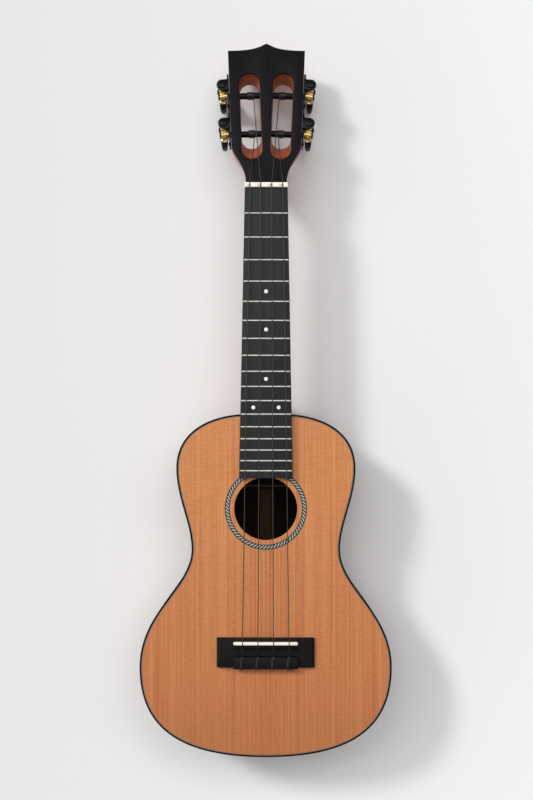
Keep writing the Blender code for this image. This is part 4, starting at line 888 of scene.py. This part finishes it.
def make_fingerboard():
    block((2 * board_half(BOARD_END), NUT_AT - BOARD_END, BOARD_TOP),
          (0, (NUT_AT + BOARD_END) / 2, BOARD_TOP / 2))
    edit()
    pick("verts", lambda vertex: vertex.co.y > 0.1)
    bpy.ops.transform.resize(value=(BOARD_HALF_NUT / board_half(BOARD_END), 1, 1),
                             center_override=(0, 0, 0))
    outward()
    board = soften(done(), 0.0004, 3)
    settle(board, "fingerboard_slab", EBONY_BOARD, "fingerboard")

    rod(20, 0.0008, 1, axis="x")
    edit()
    blank = halved((0, 0, 1), -0.0001)
    wires = []
    for fret in range(1, 18):
        y = fret_at(fret)
        wire = twin(blank)
        half = board_half(y) - 0.0005
        for vertex in wire.data.vertices:
            side = 1 if vertex.co.x > 0 else -1
            vertex.co.x = side * (half - 0.9 * max(0.0, vertex.co.z))
            vertex.co.y += y
            vertex.co.z = BOARD_TOP + vertex.co.z * 1.25
        wires.append(wire)
    bpy.data.objects.remove(blank)
    settle(joined(wires), "fret_wires", NICKEL)

    dots = []
    for fret, across, along in ((5, 0, 0), (7, 0, 0), (10, 0, 0), (12, 0.0107, 0.0025),
                                (12, -0.0107, -0.0025)):
        y = (fret_at(fret) + fret_at(fret - 1)) / 2
        face = rod(32, 0.00165, 0.001, (across, y, BOARD_TOP - 0.00045))
        edge = rod(20, 0.0009, 0.001, (0.00045 - board_half(y + along), y + along, BOARD_TOP / 2),
                   "x")
        dots += [soften(face, 0.00008), edge]
    settle(joined(dots), "position_dots", PEARL)


# Nut, saddle and bridge

def make_bone():
    nut = soften(from_frame("nut"), 0.00015)
    for index in range(4):
        place = ((index - 1.5) * NUT_SPACING, NUT_MIDDLE, NUT_STRINGS_AT + 0.0002)
        groove = rod(16, 0.0006, 0.02, place, "y")
        groove.data.transform(BODY)
        cut(nut, groove)
    settle(nut, "nut_finished", BONE, "nut", place=Matrix())
    block((SADDLE_LENGTH, 0.0028, SADDLE_TOP - SADDLE_FOOT),
          (0, SADDLE_AT, (SADDLE_TOP + SADDLE_FOOT) / 2))
    edit()
    pick("edges", lambda edge: abs(edge.verts[0].co.z - edge.verts[1].co.z) > 0.001)
    bpy.ops.mesh.bevel(offset=0.00135, segments=6)
    outward()
    saddle = soften(done(), 0.0008, 4, 60)
    settle(saddle, "bone_saddle", BONE, "saddle")


def make_bridge():
    corner = 0.0008
    right, front, back = BRIDGE_HALF - corner, BRIDGE_FRONT - corner, BRIDGE_BACK + corner
    outline = []
    for x, y, first in ((right, front, 0), (-right, front, 90), (-right, back, 180),
                        (right, back, 270)):
        for step in range(7):
            turn = math.radians(first + 15 * step)
            outline.append((x + corner * math.cos(turn), y + corner * math.sin(turn)))
    wings = grow([[(x - math.copysign(slope, x), y, z) for x, y in outline]
                  for slope, z in ((0, 0.0001), (0, 0.0026), (0.0026, 0.0038))])
    ridge, channel, foot = BRIDGE_FRONT - 0.0084, 0.0034, 0.0005
    side = [(BRIDGE_FRONT, foot), (BRIDGE_FRONT, 0.0038), (BRIDGE_FRONT - 0.0004, BRIDGE_TOP),
            (ridge, BRIDGE_TOP), (ridge - 0.0006, channel), (BLOCK_FRONT + 0.0006, channel),
            (BLOCK_FRONT, BRIDGE_TOP), (BLOCK_BACK, BRIDGE_TOP), (BLOCK_BACK, foot)]
    middle = solid([(-SADDLE_LENGTH / 2, y, z) for y, z in side], SADDLE_LENGTH, 0, 0)
    soften(middle, 0.0005, 3)
    bridge = cut(soften(wings, 0.0003, 3, 25), middle, "UNION")
    cut(bridge, block((SADDLE_LENGTH + 0.0004, 0.003, 0.008), (0, SADDLE_AT, 0.0083)))
    for index in range(4):
        place = ((index - 1.5) * SADDLE_SPACING, BRIDGE_BACK + 0.0048, TIE_HOLES_AT)
        cut(bridge, rod(20, 0.0008, 0.02, place, "y"))
    settle(bridge, "ebony_bridge", EBONY_BRIDGE, "bridge")


# Strings

def tie_at(x, tail):
    """A string's way at the tie block: its end, over the block, round its own line in front,
    back over the block and through the hole."""
    front, back = BLOCK_FRONT, BLOCK_BACK
    behind, over = back - LIFT, BRIDGE_TOP + LIFT
    return flowing([
        (x + tail, behind - 0.0008, 0.0066), (x - 0.0015, behind + 0.0002, over),
        (x - 0.0014, back + 0.004, over), (x - 0.0012, front - 0.0022, over),
        (x - 0.0006, front - 0.0002, over), (x + 0.0004, front + 0.0006, over - 0.001),
        (x + 0.0007, front + 0.0008, 0.0062), (x + 0.0008, front + 0.0005, 0.0078),
        (x + 0.0002, front - 0.001, over + 0.0002), (x - 0.0006, front - 0.0045, over),
        (x - 0.0006, behind + 0.0012, over), (x - 0.0003, behind, 0.0073),
        (x, behind - 0.0001, 0.006), (x, behind + 0.0005, TIE_HOLES_AT),
        (x, back + 0.004, TIE_HOLES_AT), (x, front - 0.0002, TIE_HOLES_AT)], 5)


def make_strings():
    for index, string in enumerate(STRINGS):
        x = (index - 1.5) * SADDLE_SPACING
        side = POST_ROWS[string][0]
        post = tuner_place(string)
        end = BODY.inverted() @ post @ Vector((-side * WINDING_AT, 0, POST_RADIUS + LIFT))
        nut = Vector(((index - 1.5) * NUT_SPACING, NUT_MIDDLE, NUT_STRINGS_AT))
        bearing = Vector((x, SADDLE_AT, SADDLE_TOP + STRING_RADIUS))
        tie = tie_at(x, 0.0042 if string == "a" else -0.0016)
        rise = [tie[-1], (x, SADDLE_AT - 0.0016, SADDLE_TOP - 0.0002), bearing,
                bearing.lerp(nut, 0.01)]
        run = tie[:-1] + flowing(rise, 4) + [bearing.lerp(nut, 0.5), bearing.lerp(nut, 0.985)]
        run += flowing([bearing.lerp(nut, 0.99), nut, nut.lerp(end, 0.06), nut.lerp(end, 0.12)], 4)
        run += [nut.lerp(end, 0.6), end]
        settle(cord(run), "string_line_" + string, STRING_DARK, "string_" + string,
               smooth=60)
        radius = POST_RADIUS + LIFT
        coil = []
        for turns in (step / 28 for step in range(int(WINDING_TURNS * 28) + 1)):
            turn = 2 * math.pi * turns
            coil.append((-side * (WINDING_AT - WINDING_PITCH * turns), radius * math.sin(turn),
                         radius * math.cos(turn)))
        settle(cord(coil), "string_turns_" + string, STRING_DARK, "wrap_" + string,
               f"tuner_{string}_post", post, 60)


# Tuners

def oval_button():
    """A flat oval button on the z axis, thinner at its tip, with a bore for the worm's shaft."""
    bpy.ops.mesh.primitive_uv_sphere_add(segments=40, ring_count=24, radius=0.5)
    button = bpy.context.object
    for vertex in button.data.vertices:
        x, y, z = vertex.co
        thick = BUTTON_ROOT + (BUTTON_TIP - BUTTON_ROOT) * (0.5 - z)
        girth = 2 * math.hypot(x, y)
        corner = (abs(2 * x) ** 6 + abs(2 * y) ** 6) ** (1 / 6) / max(girth, 1e-4)
        across, along = (girth ** (fullness - 1) / max(corner, 0.1) if girth > 1e-4 else 0.0
                         for fullness in (0.3, 0.62))
        vertex.co = (x * thick * across, y * BUTTON_WIDTH * along, z * BUTTON_LENGTH - 0.0237)
    return cut(button, rod(24, 0.0019, 0.02, (0, 0, -0.0117)))


def plate_screw():
    """A small round-headed screw with a cross cut."""
    screw = lathe([(0, 0.0008), (0.0008, 0.0008), (0.0014, 0.0005), (0.0017, 0),
                   (0.0017, -0.0002), (0, -0.0002)], 28)
    for turn in (0, math.pi / 2):
        cut(screw, block((0.002, 0.0004, 0.0008), (0, 0, 0.0008), turn + 0.4))
    return screw


def make_tuners():
    on_side = Matrix.Rotation(math.pi / 2, 4, "Y")
    inner = -RAIL_WIDTH - 0.022
    for string in STRINGS:
        handed = tuner_place(string) @ Matrix.Diagonal((POST_ROWS[string][0], 1, 1, 1))
        button_body, post_body = f"tuner_{string}_button", f"tuner_{string}_post"
        refined("tuner_plate_" + string, BLACK_STEEL, 0.0002, "instrument")
        refined("worm_" + string, STEEL, 0.00008, button_body)
        refined("gear_" + string, GOLD, 0.00012, post_body)

        post = lathe([(0, 0.0099), (0.0022, 0.0099), (0.0028, 0.0094), (0.0028, 0.0087),
                      (0.0016, 0.0087), (0.0016, 0.0018), (POST_RADIUS, 0.0018),
                      (POST_RADIUS, inner + 0.0003), (0.0024, inner), (0, inner)])
        post.data.transform(on_side)
        cut(post, block((0.0012, 0.0007, 0.008), (0.0101, 0, 0)))
        settle(post, "string_post_" + string, BLACK_STEEL, "post_" + string,
               post_body, handed, 35)

        axis = handed @ Matrix.Translation((GEAR_OUT, WORM_ALONG, 0))
        settle(oval_button(), "oval_button_" + string, BUTTON_BLACK,
               "button_" + string, button_body, axis, 60)
        cap = lathe([(0, 0.001), (0.0027, 0.001), (0.0034, 0.0007), (0.0038, 0.0002),
                     (0.0038, -0.0001), (0, -0.0001)])
        settle(cap, "worm_cap_" + string, BLACK_STEEL,
               place=axis @ Matrix.Translation((0.0002, 0, LUG_TOP)))
        screws = [plate_screw(), plate_screw()]
        for screw, along in zip(screws, (-0.0084, 0.0156)):
            screw.data.transform(Matrix.Translation((0.0018, along, 0)) @ on_side)
        settle(joined(screws), "plate_screws_" + string, BLACK_STEEL, place=handed)


# Inside pieces and what stays as the frame has it

def dress_frame():
    finishes = {
        SPRUCE: ("top_lining_left", "top_lining_right", "back_lining_left", "back_lining_right",
                 "bridge_plate", "upper_top_brace", "lower_top_brace", "fan_brace_left",
                 "fan_brace_middle", "fan_brace_right", "back_centre_strip"),
        MAHOGANY_NECK: ("neck_block", "tail_block"),
        STEEL: ("neck_bolt",),
        GOLD: ("neck_insert",),
    }
    # The back braces get darker tones still, painted shade, and a painted highlight along each
    # crest.
    for name in ("back_brace_upper", "back_brace_waist", "back_brace_lower"):
        low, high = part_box(name)
        brace = spruce_finish("spruce_" + name, ("#241A13", "#1B130E"), (low[1] + high[1]) / 2)
        finishes[brace] = (name,)
    for finish, names in finishes.items():
        for name in names:
            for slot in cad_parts[name].material_slots:
                slot.material = finish


# Floor, light and camera

ROOM_LIGHT, CEILING_PANEL, HEAD_PANEL, LEFT_PANEL = 0.18, 1.7, 2.85, 2.0
BACKDROP = 0.86
KEY_STRENGTH, KEY_AT = 1.38, (-0.93, 0.68, 1)
CAMERA_AT, CAMERA_LENS, CAMERA_SHIFT = (0.0005, -0.0319, 1.05), 55.715, 0.0837
# The floor lies a little below the back, so that the two never share a plane
FLOOR_AT = -0.0002


def studio_paper():
    """Matt white paper, rolled out as a backdrop. To the eye: no shine, and a grey that lightens
    evenly from left to right, which is painted light."""
    made, tree, at = finish_named("matt_white_paper", Roughness=0.95, Specular_IOR_Level=0.0)
    across = add(tree, "SeparateXYZ", {"Vector": at}, "X")
    place = add(tree, "MapRange", {"Value": across, "From Min": -0.237, "From Max": 0.245})
    # Painted light: the paper's grey rises from left to right.
    return fed(made, Base_Color=add(tree, "ValToRGB", {0: place}, stops=(
        (0.0, "#E7E7E7"), (1.0, "#F5F5F5"), (0.27, "#EAEAEA"), (0.69, "#F0F0F0"))))


def studio_world():
    """The light of the room, dim all round, with soft panels overhead, high up past the head and
    low down at the left. What the camera sees past the floor is plain pale grey."""
    world = bpy.data.worlds.new("studio")
    world.use_nodes = True
    tree = world.node_tree
    way = add(tree, "TexCoord", out="Generated")
    side = add(tree, "SeparateXYZ", {"Vector": way}, "X")
    ahead = add(tree, "SeparateXYZ", {"Vector": way}, "Y")
    height = add(tree, "SeparateXYZ", {"Vector": way}, "Z")
    soft = {"interpolation_type": "SMOOTHSTEP"}
    above = add(tree, "MapRange", {
        "Value": height, "From Min": 0.92, "From Max": 0.975, "To Min": ROOM_LIGHT,
        "To Max": ROOM_LIGHT + CEILING_PANEL}, **soft)
    turned = add(tree, "MapRange", {"Value": ahead, "From Min": 0.1, "From Max": 0.32,
                                    "To Max": HEAD_PANEL}, **soft)
    rise = add(tree, "MapRange", {"Value": height, "From Min": 0.7, "From Max": 0.8}, **soft)
    fall = add(tree, "MapRange", {"Value": height, "From Min": 0.9, "From Max": 0.96,
                                  "To Min": 1.0, "To Max": 0.0}, **soft)
    band = add(tree, "Math", {0: rise, 1: fall}, operation="MULTIPLY")
    high = add(tree, "Math", {0: turned, 1: band}, operation="MULTIPLY")
    left = add(tree, "MapRange", {"Value": side, "From Min": -0.5, "From Max": -0.8,
                                  "To Max": LEFT_PANEL}, **soft)
    lower = add(tree, "MapRange", {"Value": height, "From Min": 0.25, "From Max": 0.4,
                                   "To Min": 1.0, "To Max": 0.0}, **soft)
    lit = add(tree, "Math", {0: left, 1: lower, 2: above}, operation="MULTIPLY_ADD")
    lit = add(tree, "Math", {0: lit, 1: high})
    seen = add(tree, "LightPath", out="Is Camera Ray")
    strength = add(tree, "Mix", {"Factor": seen, "A": lit, "B": BACKDROP})
    tree.links.new(strength, tree.nodes["Background"].inputs["Strength"])
    tree.nodes["Background"].inputs["Color"].default_value = (1, 1, 1, 1)
    return world


def make_stage():
    bpy.ops.mesh.primitive_plane_add(size=8, location=(0, 0, FLOOR_AT))
    floor = bpy.context.object
    floor.name = "studio_floor"
    floor.data.materials.append(studio_paper())
    bpy.context.scene.world = studio_world()

    bpy.ops.object.light_add(type="SUN", location=KEY_AT)
    key = bpy.context.object
    key.data.energy = KEY_STRENGTH
    key.data.angle = math.radians(11)
    key.rotation_mode = "QUATERNION"
    key.rotation_quaternion = (-key.location).to_track_quat("-Z", "Y")

    bpy.ops.object.camera_add()
    camera = bpy.context.object
    camera.data.lens = CAMERA_LENS
    camera.data.sensor_width = 36
    camera.data.shift_y = CAMERA_SHIFT
    camera.data.clip_start, camera.data.clip_end = 0.05, 20
    aim = Matrix.Rotation(-0.01208, 4, "X") @ Matrix.Rotation(0.0012, 4, "Z")
    camera.matrix_world = BODY @ Matrix.Translation(CAMERA_AT) @ aim
    bpy.context.scene.camera = camera
    bpy.context.scene.view_settings.view_transform = "Standard"


make_stage()
make_soundboard()
make_rim()
make_neck()
make_headplate()
make_heel_cap()
make_fingerboard()
make_bone()
make_bridge()
make_strings()
make_tuners()
dress_frame()
